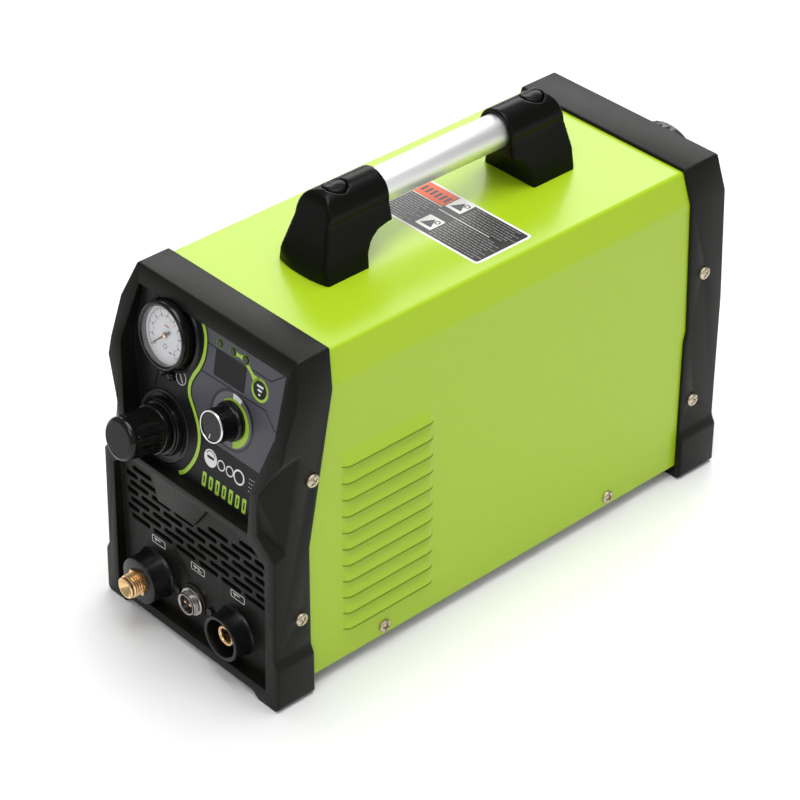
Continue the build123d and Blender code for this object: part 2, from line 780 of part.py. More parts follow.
board_height = -13.4
with BuildPart() as control_board:
    extrude(block(panel, (20.0, 2.0), (68.0, 66.0), board_height), amount=1.6)
    extrude(block(panel, window_at, (25.0, 15.0), board_height + 1.6), amount=8.6)
    for place in led_places:
        extrude(disc(panel, place, 1.6, board_height + 1.6), amount=5.7)
    for place in ((44.0, -14.0), (44.0, 4.0)):
        extrude(block(panel, place, (12.0, 8.0), board_height + 1.6), amount=3.0)


# ---------------------------------------------------------------- torch connector
boss_front = 13.8
stub_front = 24.0
stub_radius = 7.3
with BuildPart() as torch_boss:
    extrude(disc(lower, torch_at, 15.2, 0.0), amount=boss_front)
    extrude(disc(lower, torch_at, 9.9, -panel_wall - 6.0), amount=panel_wall + 6.0)
    extrude(disc(lower, torch_at, 6.0, -20.0), amount=60.0, mode=Mode.SUBTRACT)

with BuildPart() as torch_fitting:
    extrude(disc(lower, torch_at, 6.0, -24.0), amount=24.0 + boss_front)
    extrude(hexagon(lower, torch_at, 15.8, boss_front), amount=1.6)
    extrude(disc(lower, torch_at, stub_radius, boss_front + 1.6), amount=stub_front - boss_front - 1.6)
    chamfer(faces().sort_by(Axis.Y)[0].outer_wire().edges(), 0.8)
    extrude(disc(lower, torch_at, 2.5, -30.0), amount=60.0, mode=Mode.SUBTRACT)

with BuildPart() as torch_nut:
    extrude(hexagon(lower, torch_at, 19.0, -panel_wall - 11.0), amount=5.0)
    extrude(disc(lower, torch_at, 6.0, -30.0), amount=60.0, mode=Mode.SUBTRACT)


# ---------------------------------------------------------------- torch switch socket
signal_front = 6.2
with BuildPart() as signal_gasket:
    extrude(disc(lower, signal_at, 10.8, 0.0), amount=1.0)
    extrude(disc(lower, signal_at, 6.9, -1.0), amount=4.0, mode=Mode.SUBTRACT)

with BuildPart() as signal_shell:
    extrude(disc(lower, signal_at, 9.6, 1.0), amount=1.6)
    extrude(disc(lower, signal_at, 7.5, 2.6), amount=signal_front - 2.6)
    extrude(disc(lower, signal_at, 6.9, -12.0), amount=13.0)
    extrude(disc(lower, signal_at, 5.9, -20.0), amount=40.0, mode=Mode.SUBTRACT)

with BuildPart() as signal_insert:
    extrude(disc(lower, signal_at, 5.9, -11.0), amount=14.6)
    for across in (-2.2, 2.2):
        extrude(disc(lower, (signal_at[0] + across, connector_up), 0.9, -20.0), amount=40, mode=Mode.SUBTRACT)

with BuildPart() as signal_pins:
    for across in (-2.2, 2.2):
        extrude(disc(lower, (signal_at[0] + across, connector_up), 0.9, -15.0), amount=20.4)

with BuildPart() as signal_nut:
    extrude(hexagon(lower, signal_at, 18.0, -panel_wall - 2.5), amount=2.5)
    extrude(disc(lower, signal_at, 6.9, -20.0), amount=40.0, mode=Mode.SUBTRACT)

with BuildPart() as bracket_screws:
    for offset_x in (-15.2, 15.2):
        place = (signal_at[0] + offset_x, connector_up)
        extrude(disc(lower, place, 2.6, 0.0), amount=1.4)
        extrude(disc(lower, place, 1.5, -7.0), amount=7.0)


# ---------------------------------------------------------------- earth socket
earth_front = 12.4
earth_bore = 4.6
with BuildPart() as earth_body:
    extrude(disc(lower, earth_at, 14.8, 0.0), amount=earth_front)
    extrude(disc(lower, earth_at, 10.9, -panel_wall - 8.0), amount=panel_wall + 8.0)
    extrude(disc(lower, earth_at, 12.3, 1.5), amount=40.0, mode=Mode.SUBTRACT)
    extrude(disc(lower, earth_at, 6.9, -20.0), amount=40.0, mode=Mode.SUBTRACT)

with BuildPart() as earth_contact:
    extrude(disc(lower, earth_at, 6.9, -18.0), amount=18.0 + 8.2)
    extrude(disc(lower, earth_at, 4.5, -32.0), amount=14.0)
    extrude(disc(lower, earth_at, earth_bore, -16.0), amount=40.0, mode=Mode.SUBTRACT)
    slot_centre = (earth_at[0], earth_at[1] + earth_bore)
    extrude(block(lower, slot_centre, (2.4, 2.6), -10.0), amount=30.0, mode=Mode.SUBTRACT)

with BuildPart() as earth_nut:
    extrude(hexagon(lower, earth_at, 27.0, -panel_wall - 5.0), amount=5.0)
    extrude(disc(lower, earth_at, 10.9, -20.0), amount=40.0, mode=Mode.SUBTRACT)


# ---------------------------------------------------------------- rear fittings
rear_knob_radius = 28.0
rear_knob_disc = 14.5
rear_knob_front = rear_reach - rear_floor
with BuildPart() as switch_body:
    extrude(block(rear, switch_at, (44.0, 44.0), -44.0), amount=44.0 - panel_wall)
    extrude(disc(rear, switch_at, 5.9, -panel_wall), amount=panel_wall + 1.0)
    extrude(disc(rear, switch_at, 3.0 + fit_gap, -30.0), amount=60.0, mode=Mode.SUBTRACT)

with BuildPart() as switch_plate:
    extrude(disc(rear, switch_at, 28.0, 0.0), amount=1.2)
    extrude(disc(rear, switch_at, 5.9, -1.0), amount=10.0, mode=Mode.SUBTRACT)

with BuildPart() as switch_knob:
    extrude(disc(rear, switch_at, rear_knob_radius, 2.0), amount=rear_knob_disc - 2.0)
    with BuildSketch(rear.offset(rear_knob_disc)):
        with Locations(switch_at):
            SlotOverall(2 * rear_knob_radius - 6, 14.0)
    extrude(amount=rear_knob_front - rear_knob_disc)
    with BuildSketch(rear.offset(2.0)):
        with Locations(*ring_of(rear_knob_radius + 0.9, 30, switch_at)):
            Circle(1.5)
    extrude(amount=8.0, mode=Mode.SUBTRACT)
    extrude(disc(rear, switch_at, 3.0, -28.0), amount=34.0)

with BuildPart() as cable_gland:
    extrude(disc(rear, gland_at, 8.9, -12.0), amount=12.0)
    extrude(hexagon(rear, gland_at, 22.0, 0.0), amount=5.0)
    extrude(disc(rear, gland_at, 5.5, -20.0), amount=60.0, mode=Mode.SUBTRACT)

with BuildPart() as gland_dome:
    with BuildSketch(rear.offset(5.0)):
        with Locations(gland_at):
            Circle(10.8)
    with BuildSketch(rear.offset(17.0)):
        with Locations(gland_at):
            Circle(8.0)
    loft()
    extrude(disc(rear, gland_at, 5.5, 0.0), amount=60.0, mode=Mode.SUBTRACT)

with BuildPart() as gland_nut:
    extrude(hexagon(rear, gland_at, 22.0, -panel_wall - 4.0), amount=4.0)
    extrude(disc(rear, gland_at, 8.9, -20.0), amount=40.0, mode=Mode.SUBTRACT)

with BuildPart() as air_inlet:
    extrude(disc(rear, inlet_at, 5.1, -20.0), amount=20.0)
    extrude(hexagon(rear, inlet_at, 14.0, 0.0), amount=5.0)
    for step in range(4):
        with BuildSketch(rear.offset(5.0 + 3.0 * step)):
            with Locations(inlet_at):
                Circle(4.9)
        with BuildSketch(rear.offset(8.0 + 3.0 * step)):
            with Locations(inlet_at):
                Circle(4.1)
        loft()
    extrude(disc(rear, inlet_at, 2.8, -30.0), amount=80.0, mode=Mode.SUBTRACT)

with BuildPart() as inlet_nut:
    extrude(hexagon(rear, inlet_at, 14.0, -panel_wall - 3.0), amount=3.0)
    extrude(disc(rear, inlet_at, 5.1, -20.0), amount=40.0, mode=Mode.SUBTRACT)


# ---------------------------------------------------------------- fan
fan_back = -panel_wall
fan_bore = fan_size / 2 - 1.6
fan_hub = 19.0
with BuildPart() as fan_frame:
    with BuildSketch(rear.offset(fan_back - fan_depth)):
        with Locations(fan_at):
            RectangleRounded(fan_size, fan_size, 5.0)
            Circle(fan_bore, mode=Mode.SUBTRACT)
            with GridLocations(82.5, 82.5, 2, 2):
                Circle(2.2, mode=Mode.SUBTRACT)
    extrude(amount=fan_depth)
    with BuildSketch(rear.offset(fan_back - fan_depth)):
        with Locations(fan_at):
            Circle(fan_hub)
            with PolarLocations(0, 3):
                Rectangle(fan_bore + 1.0, 5.0, align=(Align.MIN, Align.CENTER))
    extrude(amount=3.0)
    extrude(disc(rear, fan_at, 8.0, fan_back - fan_depth), amount=14.0)
    extrude(disc(rear, fan_at, 1.5 + fit_gap, fan_back - fan_depth - 1), amount=30.0, mode=Mode.SUBTRACT)

blade_count = 7
blade_middle = (fan_hub + fan_bore) / 2 - 1.0
fan_plane = rear.offset(fan_back - 12.5)
fan_centre = fan_plane.location * Location((fan_at[0], fan_at[1], 0))
with BuildPart() as fan_rotor:
    extrude(disc(rear, fan_at, fan_hub, fan_back - fan_depth + 4.0), amount=19.0)
    extrude(disc(rear, fan_at, fan_hub - 2.0, fan_back - fan_depth + 4.0), amount=16.0, mode=Mode.SUBTRACT)
    extrude(disc(rear, fan_at, 1.5, fan_back - fan_depth + 1.0), amount=20.0)
    for index in range(blade_count):
        turn = Location((0, 0, 0), (0, 0, 360.0 * index / blade_count))
        with Locations(fan_centre * turn * Location((blade_middle, 0, 0), (35, 0, 0))):
            Box(fan_bore - fan_hub - 1.5, 22.0, 1.4)


# ---------------------------------------------------------------- power stage
with BuildPart() as power_board:
    with BuildSketch(Plane.XY.offset(deck_z)):
        with Locations((0, station(deck_start + deck_length / 2))):
            Rectangle(128.0, deck_length)
    extrude(amount=1.6)

sink_size = (44.0, 96.0, 60.0)
sink_places = [(x, d) for x in (-32.0, 32.0) for d in (108.0,)]
with BuildPart() as heat_sinks:
    for across, distance in sink_places:
        with BuildSketch(Plane.XZ.offset(-station(distance - sink_size[1] / 2))):
            with Locations((across, deck_z - sink_size[2] / 2)):
                Rectangle(sink_size[0], sink_size[2])
                for fin in range(7):
                    with Locations((sink_size[0] / 2 - 5.0 - 5.8 * fin, -5.0)):
                        Rectangle(3.6, sink_size[2] - 9.9, mode=Mode.SUBTRACT)
        extrude(amount=-sink_size[1])

transistor_places = [(x, station(d)) for x in (-32.0, 32.0) for d in (74.0, 98.0, 122.0, 142.0)]
with BuildPart() as power_transistors:
    with BuildSketch(Plane.XY.offset(deck_z + 1.6)):
        with Locations(*transistor_places):
            Rectangle(16.0, 15.0)
    extrude(amount=5.0)

can_places = [(x, station(d)) for x in (-40.0, 0.0, 40.0) for d in (190.0, 226.0)]
with BuildPart() as filter_capacitors:
    with BuildSketch(Plane.XY.offset(deck_z + 1.6)):
        with Locations(*can_places):
            Circle(15.0)
    extrude(amount=45.0)
    fillet(faces().sort_by(Axis.Z)[-6:].edges(), 1.5)

core_station = 214.0
core_floor = tray_floor
with BuildPart() as transformer_core:
    with BuildSketch(Plane.XZ.offset(-station(core_station - 14))):
        with Locations((0, core_floor)):
            Rectangle(72.0, 60.0, align=(Align.CENTER, Align.MIN))
        with Locations((-19.0, core_floor + 30.0), (19.0, core_floor + 30.0)):
            Rectangle(18.0, 36.0, mode=Mode.SUBTRACT)
    extrude(amount=-28.0)

with BuildPart() as transformer_winding:
    with BuildSketch(Plane.XY.offset(core_floor + 13.0)):
        with Locations((0, station(core_station))):
            RectangleRounded(54.0, 62.0, 8.0)
            Rectangle(20.4, 28.4, mode=Mode.SUBTRACT)
    extrude(amount=34.0)

with BuildPart() as output_choke:
    with BuildSketch(Plane.XZ.offset(-station(choke_station - 12))):
        with Locations((choke_across, choke_z)):
            Circle(choke_radius)
            Circle(14.0, mode=Mode.SUBTRACT)
    extrude(amount=-24.0)
    fillet(edges().filter_by(GeomType.CIRCLE), 4.0)


valve_station = 78.0
valve_across = -46.0
valve_floor = tray_floor
with BuildPart() as solenoid_valve:
    with BuildSketch(Plane.XY.offset(valve_floor)):
        with Locations((valve_across, station(valve_station))):
            Rectangle(24.0, 24.0)
    extrude(amount=16.0)
    with BuildSketch(Plane.XY.offset(valve_floor + 16.0)):
        with Locations((valve_across, station(valve_station))):
            RectangleRounded(26.0, 30.0, 3.0)
    extrude(amount=24.0)


with BuildPart() as connector_nuts:
    for nut in (torch_nut, signal_nut, earth_nut):
        add(nut.part)

with BuildPart() as rear_nuts:
    for nut in (gland_nut, inlet_nut):
        add(nut.part)


# ---------------------------------------------------------------- write the parts
sub_parts = {
    "front_bezel": front_bezel,
    "rear_bezel": rear_bezel,
    "cover": cover,
    "base_tray": base_tray,
    "handle_post_front": handle_post_front,
    "handle_post_rear": handle_post_rear,
    "handle_tube": handle_tube,
    "handle_plugs": handle_plugs,
    "handle_screws": handle_screws,
    "handle_nuts": handle_nuts,
    "bezel_screws": bezel_screws,
    "cover_screws": cover_screws,
    "clip_nuts": clip_nuts,
    "control_film": control_film,
    "display_window": display_window,
    "indicator_lights": indicator_lights,
    "control_board": control_board,
    "gauge_case": gauge_case,
    "gauge_dial": gauge_dial,
    "gauge_needle": gauge_needle,
    "gauge_lens": gauge_lens,
    "gauge_stem": gauge_stem,
    "gauge_clamp_screws": gauge_clamp_screws,
    "regulator_body": regulator_body,
    "regulator_ring": regulator_ring,
    "regulator_spindle": regulator_spindle,
    "regulator_knob": regulator_knob,
    "current_knob": current_knob,
    "current_knob_ring": current_knob_ring,
    "potentiometer": potentiometer,
    "potentiometer_shaft": potentiometer_shaft,
    "potentiometer_nut": potentiometer_nut,
    "torch_boss": torch_boss,
    "torch_fitting": torch_fitting,
    "signal_gasket": signal_gasket,
    "signal_shell": signal_shell,
    "signal_insert": signal_insert,
    "signal_pins": signal_pins,
    "bracket_screws": bracket_screws,
    "earth_body": earth_body,
    "earth_contact": earth_contact,
    "connector_nuts": connector_nuts,
    "switch_body": switch_body,
    "switch_plate": switch_plate,
    "switch_knob": switch_knob,
    "cable_gland": cable_gland,
    "gland_dome": gland_dome,
    "air_inlet": air_inlet,
    "rear_nuts": rear_nuts,
    "fan_frame": fan_frame,
    "fan_rotor": fan_rotor,
    "power_board": power_board,
    "power_transistors": power_transistors,
    "heat_sinks": heat_sinks,
    "filter_capacitors": filter_capacitors,
    "transformer_core": transformer_core,
    "transformer_winding": transformer_winding,
    "output_choke": output_choke,
    "solenoid_valve": solenoid_valve,
}

os.makedirs("parts", exist_ok=True)
for name, built in sub_parts.items():
    built.part.label = name
    export_step(built.part, f"parts/{name}.step")
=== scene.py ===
import json
import logging
import math
from dataclasses import dataclass, field
from enum import Enum

import bmesh
import bpy
from mathutils import Matrix, Vector


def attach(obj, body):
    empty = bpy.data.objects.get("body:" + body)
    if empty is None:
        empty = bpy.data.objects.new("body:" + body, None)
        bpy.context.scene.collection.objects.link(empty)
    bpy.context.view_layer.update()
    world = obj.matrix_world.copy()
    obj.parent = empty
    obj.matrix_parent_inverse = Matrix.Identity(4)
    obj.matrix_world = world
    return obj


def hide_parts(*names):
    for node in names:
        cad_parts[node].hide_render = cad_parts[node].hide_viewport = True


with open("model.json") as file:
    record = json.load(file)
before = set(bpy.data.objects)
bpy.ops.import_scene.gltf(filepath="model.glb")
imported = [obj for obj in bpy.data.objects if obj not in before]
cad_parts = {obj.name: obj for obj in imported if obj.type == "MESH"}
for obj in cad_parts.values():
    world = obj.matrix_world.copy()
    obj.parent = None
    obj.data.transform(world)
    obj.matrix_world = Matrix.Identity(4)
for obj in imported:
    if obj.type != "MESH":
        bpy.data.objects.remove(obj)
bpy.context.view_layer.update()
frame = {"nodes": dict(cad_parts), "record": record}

log = logging.getLogger("plasma_cutter")

MM = 0.001
KNOB_REACH = 49.5
REAR_REACH = 362.2
FRONT_Y = (KNOB_REACH - REAR_REACH) / 2
BODY_WIDTH = 155.0
BODY_HEIGHT = 228.5
PANEL_LEAN = math.radians(10.0)

Point2 = tuple[float, float]
Point3 = tuple[float, float, float]


# ------------------------------------------------------------------ working planes
@dataclass(frozen=True)
class WorkPlane:
    """A flat place to draw on, in millimetres, set in the frame of the whole unit.

    Args:
        origin: where (0, 0) lies, in millimetres.
        across: direction of the first coordinate.
        up: direction of the second coordinate.
    """

    origin: Point3
    across: Point3
    up: Point3

    @property
    def out(self) -> Vector:
        """Direction the plane faces."""
        return Vector(self.across).cross(Vector(self.up)).normalized()

    def point(self, u: float, v: float, w: float = 0.0) -> Vector:
        """A point of the plane in metres.

        Args:
            u: distance across.
            v: distance up.
            w: height over the plane.

        Returns:
            The place in the frame of the whole unit.
        """
        place = Vector(self.origin) + u * Vector(self.across) + v * Vector(self.up) + w * self.out
        return place * MM


PANEL = WorkPlane(
    (0.0, FRONT_Y - 6.5, 180.0),
    (1.0, 0.0, 0.0),
    (0.0, math.sin(PANEL_LEAN), math.cos(PANEL_LEAN)),
)
LOWER = WorkPlane((0.0, FRONT_Y - 21.0, 60.0), (1.0, 0.0, 0.0), (0.0, 0.0, 1.0))
COVER_TOP = WorkPlane((0.0, FRONT_Y, 226.2), (1.0, 0.0, 0.0), (0.0, 1.0, 0.0))


# ------------------------------------------------------------------ shared shader effects
def new_group(name: str, inputs: dict[str, float], outputs: dict[str, str]) -> bpy.types.NodeTree:
    """An empty shader node group with number inputs and named outputs.

    Args:
        name: the group's name.
        inputs: number inputs with their first values.
        outputs: outputs with their socket types.

    Returns:
        The group, with its input and output nodes made.
    """
    group = bpy.data.node_groups.new(name, "ShaderNodeTree")
    for label, value in inputs.items():
        socket = group.interface.new_socket(name=label, in_out="INPUT", socket_type="NodeSocketFloat")
        socket.default_value = value
    for label, kind in outputs.items():
        group.interface.new_socket(name=label, in_out="OUTPUT", socket_type=kind)
    group.nodes.new("NodeGroupInput").name = "in"
    group.nodes.new("NodeGroupOutput").name = "out"
    return group


def grain_group() -> bpy.types.NodeTree:
    """Fine moulded grain: a height for a bump, and a small change of roughness.

    Returns:
        The shader node group.
    """
    group = new_group(
        "moulded_grain",
        {"Scale": 900.0, "Spread": 0.08},
        {"Height": "NodeSocketFloat", "Rough": "NodeSocketFloat"},
    )
    nodes, links = group.nodes, group.links
    place = nodes.new("ShaderNodeTexCoord")
    pits = nodes.new("ShaderNodeTexVoronoi")
    cloud = nodes.new("ShaderNodeTexNoise")
    cloud.inputs["Detail"].default_value = 3.0
    cloud.inputs["Scale"].default_value = 28.0
    spread = nodes.new("ShaderNodeMath")
    spread.operation = "MULTIPLY_ADD"
    half = nodes.new("ShaderNodeMath")
    half.operation = "SUBTRACT"
    half.inputs[1].default_value = 0.5
    spread.inputs[2].default_value = 0.0
    links.new(place.outputs["Object"], pits.inputs["Vector"])
    links.new(place.outputs["Object"], cloud.inputs["Vector"])
    links.new(nodes["in"].outputs["Scale"], pits.inputs["Scale"])
    links.new(cloud.outputs["Fac"], half.inputs[0])
    links.new(half.outputs[0], spread.inputs[0])
    links.new(nodes["in"].outputs["Spread"], spread.inputs[1])
    links.new(pits.outputs["Distance"], nodes["out"].inputs["Height"])
    links.new(spread.outputs[0], nodes["out"].inputs["Rough"])
    return group


def dust_group() -> bpy.types.NodeTree:
    """A soft mask that grows where a surface faces up, broken by a cloud.

    Returns:
        The shader node group.
    """
    group = new_group("settled_dust", {"Amount": 0.2}, {"Mask": "NodeSocketFloat"})
    nodes, links = group.nodes, group.links
    place = nodes.new("ShaderNodeTexCoord")
    shape = nodes.new("ShaderNodeNewGeometry")
    split = nodes.new("ShaderNodeSeparateXYZ")
    cloud = nodes.new("ShaderNodeTexNoise")
    cloud.inputs["Scale"].default_value = 45.0
    cloud.inputs["Detail"].default_value = 5.0
    facing = nodes.new("ShaderNodeMapRange")
    facing.inputs["From Min"].default_value = 0.2
    broken = nodes.new("ShaderNodeMath")
    broken.operation = "MULTIPLY"
    scaled = nodes.new("ShaderNodeMath")
    scaled.operation = "MULTIPLY"
    links.new(shape.outputs["Normal"], split.inputs[0])
    links.new(split.outputs["Z"], facing.inputs["Value"])
    links.new(place.outputs["Object"], cloud.inputs["Vector"])
    links.new(facing.outputs[0], broken.inputs[0])
    links.new(cloud.outputs["Fac"], broken.inputs[1])
    links.new(broken.outputs[0], scaled.inputs[0])
    links.new(nodes["in"].outputs["Amount"], scaled.inputs[1])
    links.new(scaled.outputs[0], nodes["out"].inputs["Mask"])
    return group


def brushed_group() -> bpy.types.NodeTree:
    """Drawn or turned metal: fine lines along one way, as a height and a roughness change.

    Returns:
        The shader node group.
    """
    group = new_group(
        "brushed_lines",
        {"Along X": 1.0, "Along Y": 1.0, "Along Z": 1.0},
        {"Height": "NodeSocketFloat", "Rough": "NodeSocketFloat"},
    )
    nodes, links = group.nodes, group.links
    place = nodes.new("ShaderNodeTexCoord")
    stretch = nodes.new("ShaderNodeVectorMath")
    stretch.operation = "MULTIPLY"
    scales = nodes.new("ShaderNodeCombineXYZ")
    cloud = nodes.new("ShaderNodeTexNoise")
    cloud.inputs["Scale"].default_value = 1.0
    cloud.inputs["Detail"].default_value = 4.0
    for label, axis in (("Along X", "X"), ("Along Y", "Y"), ("Along Z", "Z")):
        links.new(nodes["in"].outputs[label], scales.inputs[axis])
    links.new(place.outputs["Object"], stretch.inputs[0])
    links.new(scales.outputs[0], stretch.inputs[1])
    links.new(stretch.outputs[0], cloud.inputs["Vector"])
    links.new(cloud.outputs["Fac"], nodes["out"].inputs["Height"])
    links.new(cloud.outputs["Fac"], nodes["out"].inputs["Rough"])
    return group


@dataclass(frozen=True)
class SharedEffects:
    """The node groups that more than one finish uses.

    Args:
        grain: moulded grain.
        dust: settled dust.
        brushed: brushed lines.
    """

    grain: bpy.types.NodeTree
    dust: bpy.types.NodeTree
    brushed: bpy.types.NodeTree

    @classmethod
    def made(cls) -> "SharedEffects":
        """All the shared groups.

        Returns:
            The groups, ready for the finishes.
        """
        return cls(grain_group(), dust_group(), brushed_group())


# ------------------------------------------------------------------ finishes
Colour = tuple[float, float, float]


def srgb(text: str) -> Colour:
    """A linear colour from six hex digits.

    Args:
        text: the digits, such as "ff8800".

    Returns:
        Linear red, green and blue.
    """
    parts = [int(text[i : i + 2], 16) / 255 for i in (0, 2, 4)]
    return tuple(p / 12.92 if p <= 0.04045 else ((p + 0.055) / 1.055) ** 2.4 for p in parts)


def started(name: str, colour: Colour) -> tuple[bpy.types.Material, bpy.types.NodeTree, bpy.types.Node]:
    """A material with only its Principled shader.

    Args:
        name: the material's name.
        colour: its base colour.

    Returns:
        The material, its node tree and its shader node.
    """
    material = bpy.data.materials.new(name)
    material.use_nodes = True
    tree = material.node_tree
    shader = tree.nodes["Principled BSDF"]
    shader.inputs["Base Color"].default_value = (*colour, 1.0)
    material.diffuse_color = (*colour, 1.0)
    return material, tree, shader


def use_group(
    tree: bpy.types.NodeTree, group: bpy.types.NodeTree, values: dict[str, float]
) -> bpy.types.Node:
    """A group node in a material, with its inputs set.

    Args:
        tree: the material's tree.
        group: the shared group.
        values: input values by name.

    Returns:
        The group node.
    """
    node = tree.nodes.new("ShaderNodeGroup")
    node.node_tree = group
    for label, value in values.items():
        node.inputs[label].default_value = value
    return node


def bump_from(
    tree: bpy.types.NodeTree, height: bpy.types.NodeSocket, strength: float, depth: float
) -> bpy.types.Node:
    """A bump node fed by a height.

    Args:
        tree: the material's tree.
        height: the socket that gives the height.
        strength: how strong the bump is.
        depth: the height of the bump in metres.

    Returns:
        The bump node.
    """
    bump = tree.nodes.new("ShaderNodeBump")
    bump.inputs["Strength"].default_value = strength
    bump.inputs["Distance"].default_value = depth
    tree.links.new(height, bump.inputs["Height"])
    return bump


def added(
    tree: bpy.types.NodeTree, socket: bpy.types.NodeSocket, base: float, share: float
) -> bpy.types.NodeSocket:
    """A socket with base + share * value.

    Args:
        tree: the material's tree.
        socket: the value.
        base: what is added.
        share: what the value is multiplied by.

    Returns:
        The socket of the sum.
    """
    node = tree.nodes.new("ShaderNodeMath")
    node.operation = "MULTIPLY_ADD"
    node.inputs[1].default_value = share
    node.inputs[2].default_value = base
    tree.links.new(socket, node.inputs[0])
    return node.outputs[0]


@dataclass(frozen=True)
class MouldedPlastic:
    """Plastic with a fine moulded grain and a little dust on what faces up.

    Args:
        name: the material's name.
        colour: base colour.
        roughness: surface roughness.
        grain: bump strength of the grain.
        grain_scale: how fine the grain is.
        dust: how much dust settles on it.
        specular: strength of the reflection.
    """

    name: str
    colour: Colour
    roughness: float = 0.45
    grain: float = 0.25
    grain_scale: float = 900.0
    dust: float = 0.1
    specular: float = 0.5

    def build(self, effects: SharedEffects) -> bpy.types.Material:
        """The finished material.

        Args:
            effects: the shared node groups.

        Returns:
            The material.
        """
        material, tree, shader = started(self.name, self.colour)
        shader.inputs["Specular IOR Level"].default_value = self.specular
        grain = use_group(tree, effects.grain, {"Scale": self.grain_scale, "Spread": 0.12})
        rough = added(tree, grain.outputs["Rough"], self.roughness, 1.0)
        tree.links.new(rough, shader.inputs["Roughness"])
        bump = bump_from(tree, grain.outputs["Height"], self.grain, 0.0004)
        tree.links.new(bump.outputs[0], shader.inputs["Normal"])
        dust = use_group(tree, effects.dust, {"Amount": self.dust})
        mix = tree.nodes.new("ShaderNodeMix")
        mix.data_type = "RGBA"
        mix.inputs["A"].default_value = (*self.colour, 1.0)
        mix.inputs["B"].default_value = (0.45, 0.45, 0.43, 1.0)
        tree.links.new(dust.outputs["Mask"], mix.inputs["Factor"])
        tree.links.new(mix.outputs["Result"], shader.inputs["Base Color"])
        return material


@dataclass(frozen=True)
class GlossPaint:
    """Sprayed paint with a clear shine and a faint orange peel.

    Args:
        name: the material's name.
        colour: base colour.
        roughness: roughness under the coat.
        coat: strength of the coat.
        peel: strength of the orange peel.
        specular: strength of the reflection under the coat.
    """

    name: str
    colour: Colour
    roughness: float = 0.38
    coat: float = 0.35
    peel: float = 0.06
    specular: float = 0.34

    def build(self, effects: SharedEffects) -> bpy.types.Material:
        """The finished material.

        Args:
            effects: the shared node groups.

        Returns:
            The material.
        """
        material, tree, shader = started(self.name, self.colour)
        shader.inputs["Roughness"].default_value = self.roughness
        shader.inputs["Specular IOR Level"].default_value = self.specular
        shader.inputs["Coat Weight"].default_value = self.coat
        shader.inputs["Coat Roughness"].default_value = 0.16
        grain = use_group(tree, effects.grain, {"Scale": 420.0, "Spread": 0.1})
        rough = added(tree, grain.outputs["Rough"], self.roughness, 0.6)
        tree.links.new(rough, shader.inputs["Roughness"])
        bump = bump_from(tree, grain.outputs["Height"], self.peel, 0.0002)
        tree.links.new(bump.outputs[0], shader.inputs["Normal"])
        return material


@dataclass(frozen=True)
class WorkedMetal:
    """Metal with fine lines from drawing or turning.

    Args:
        name: the material's name.
        colour: base colour.
        roughness: mean roughness.
        lines: how fine the lines are along X, Y and Z.
        relief: bump strength of the lines.
    """

    name: str
    colour: Colour
    roughness: float = 0.3
    lines: Point3 = (900.0, 60.0, 900.0)
    relief: float = 0.08

    def build(self, effects: SharedEffects) -> bpy.types.Material:
        """The finished material.

        Args:
            effects: the shared node groups.

        Returns:
            The material.
        """
        material, tree, shader = started(self.name, self.colour)
        shader.inputs["Metallic"].default_value = 1.0
        values = dict(zip(("Along X", "Along Y", "Along Z"), self.lines))
        lines = use_group(tree, effects.brushed, values)
        rough = added(tree, lines.outputs["Rough"], self.roughness - 0.06, 0.12)
        tree.links.new(rough, shader.inputs["Roughness"])
        bump = bump_from(tree, lines.outputs["Height"], self.relief, 0.0002)
        tree.links.new(bump.outputs[0], shader.inputs["Normal"])
        return material


@dataclass(frozen=True)
class Ink:
    """Flat printed or painted colour with a faint uneven sheen.

    Args:
        name: the material's name.
        colour: base colour.
        roughness: surface roughness.
        glow: light given off, for lamps.
    """

    name: str
    colour: Colour
    roughness: float = 0.4
    glow: float = 0.0

    def build(self, effects: SharedEffects) -> bpy.types.Material:
        """The finished material.

        Args:
            effects: the shared node groups.

        Returns:
            The material.
        """
        material, tree, shader = started(self.name, self.colour)
        grain = use_group(tree, effects.grain, {"Scale": 1500.0, "Spread": 0.08})
        rough = added(tree, grain.outputs["Rough"], self.roughness, 1.0)
        tree.links.new(rough, shader.inputs["Roughness"])
        if self.glow > 0:
            shader.inputs["Emission Color"].default_value = (*self.colour, 1.0)
            shader.inputs["Emission Strength"].default_value = self.glow
        return material


@dataclass(frozen=True)
class ClearPlastic:
    """Clear moulded plastic, such as a gauge's window.

    Args:
        name: the material's name.
        colour: tint.
        roughness: surface roughness.
        clear: how much light passes straight through.
    """

    name: str
    colour: Colour
    roughness: float = 0.04
    clear: float = 0.85

    def build(self, effects: SharedEffects) -> bpy.types.Material:
        """The finished material.

        Args:
            effects: the shared node groups.

        Returns:
            The material.
        """
        material, tree, shader = started(self.name, self.colour)
        shader.inputs["IOR"].default_value = 1.49
        shader.inputs["Alpha"].default_value = 1.0 - self.clear
        grain = use_group(tree, effects.grain, {"Scale": 300.0, "Spread": 0.03})
        rough = added(tree, grain.outputs["Rough"], self.roughness, 0.3)
        tree.links.new(rough, shader.inputs["Roughness"])
        return material


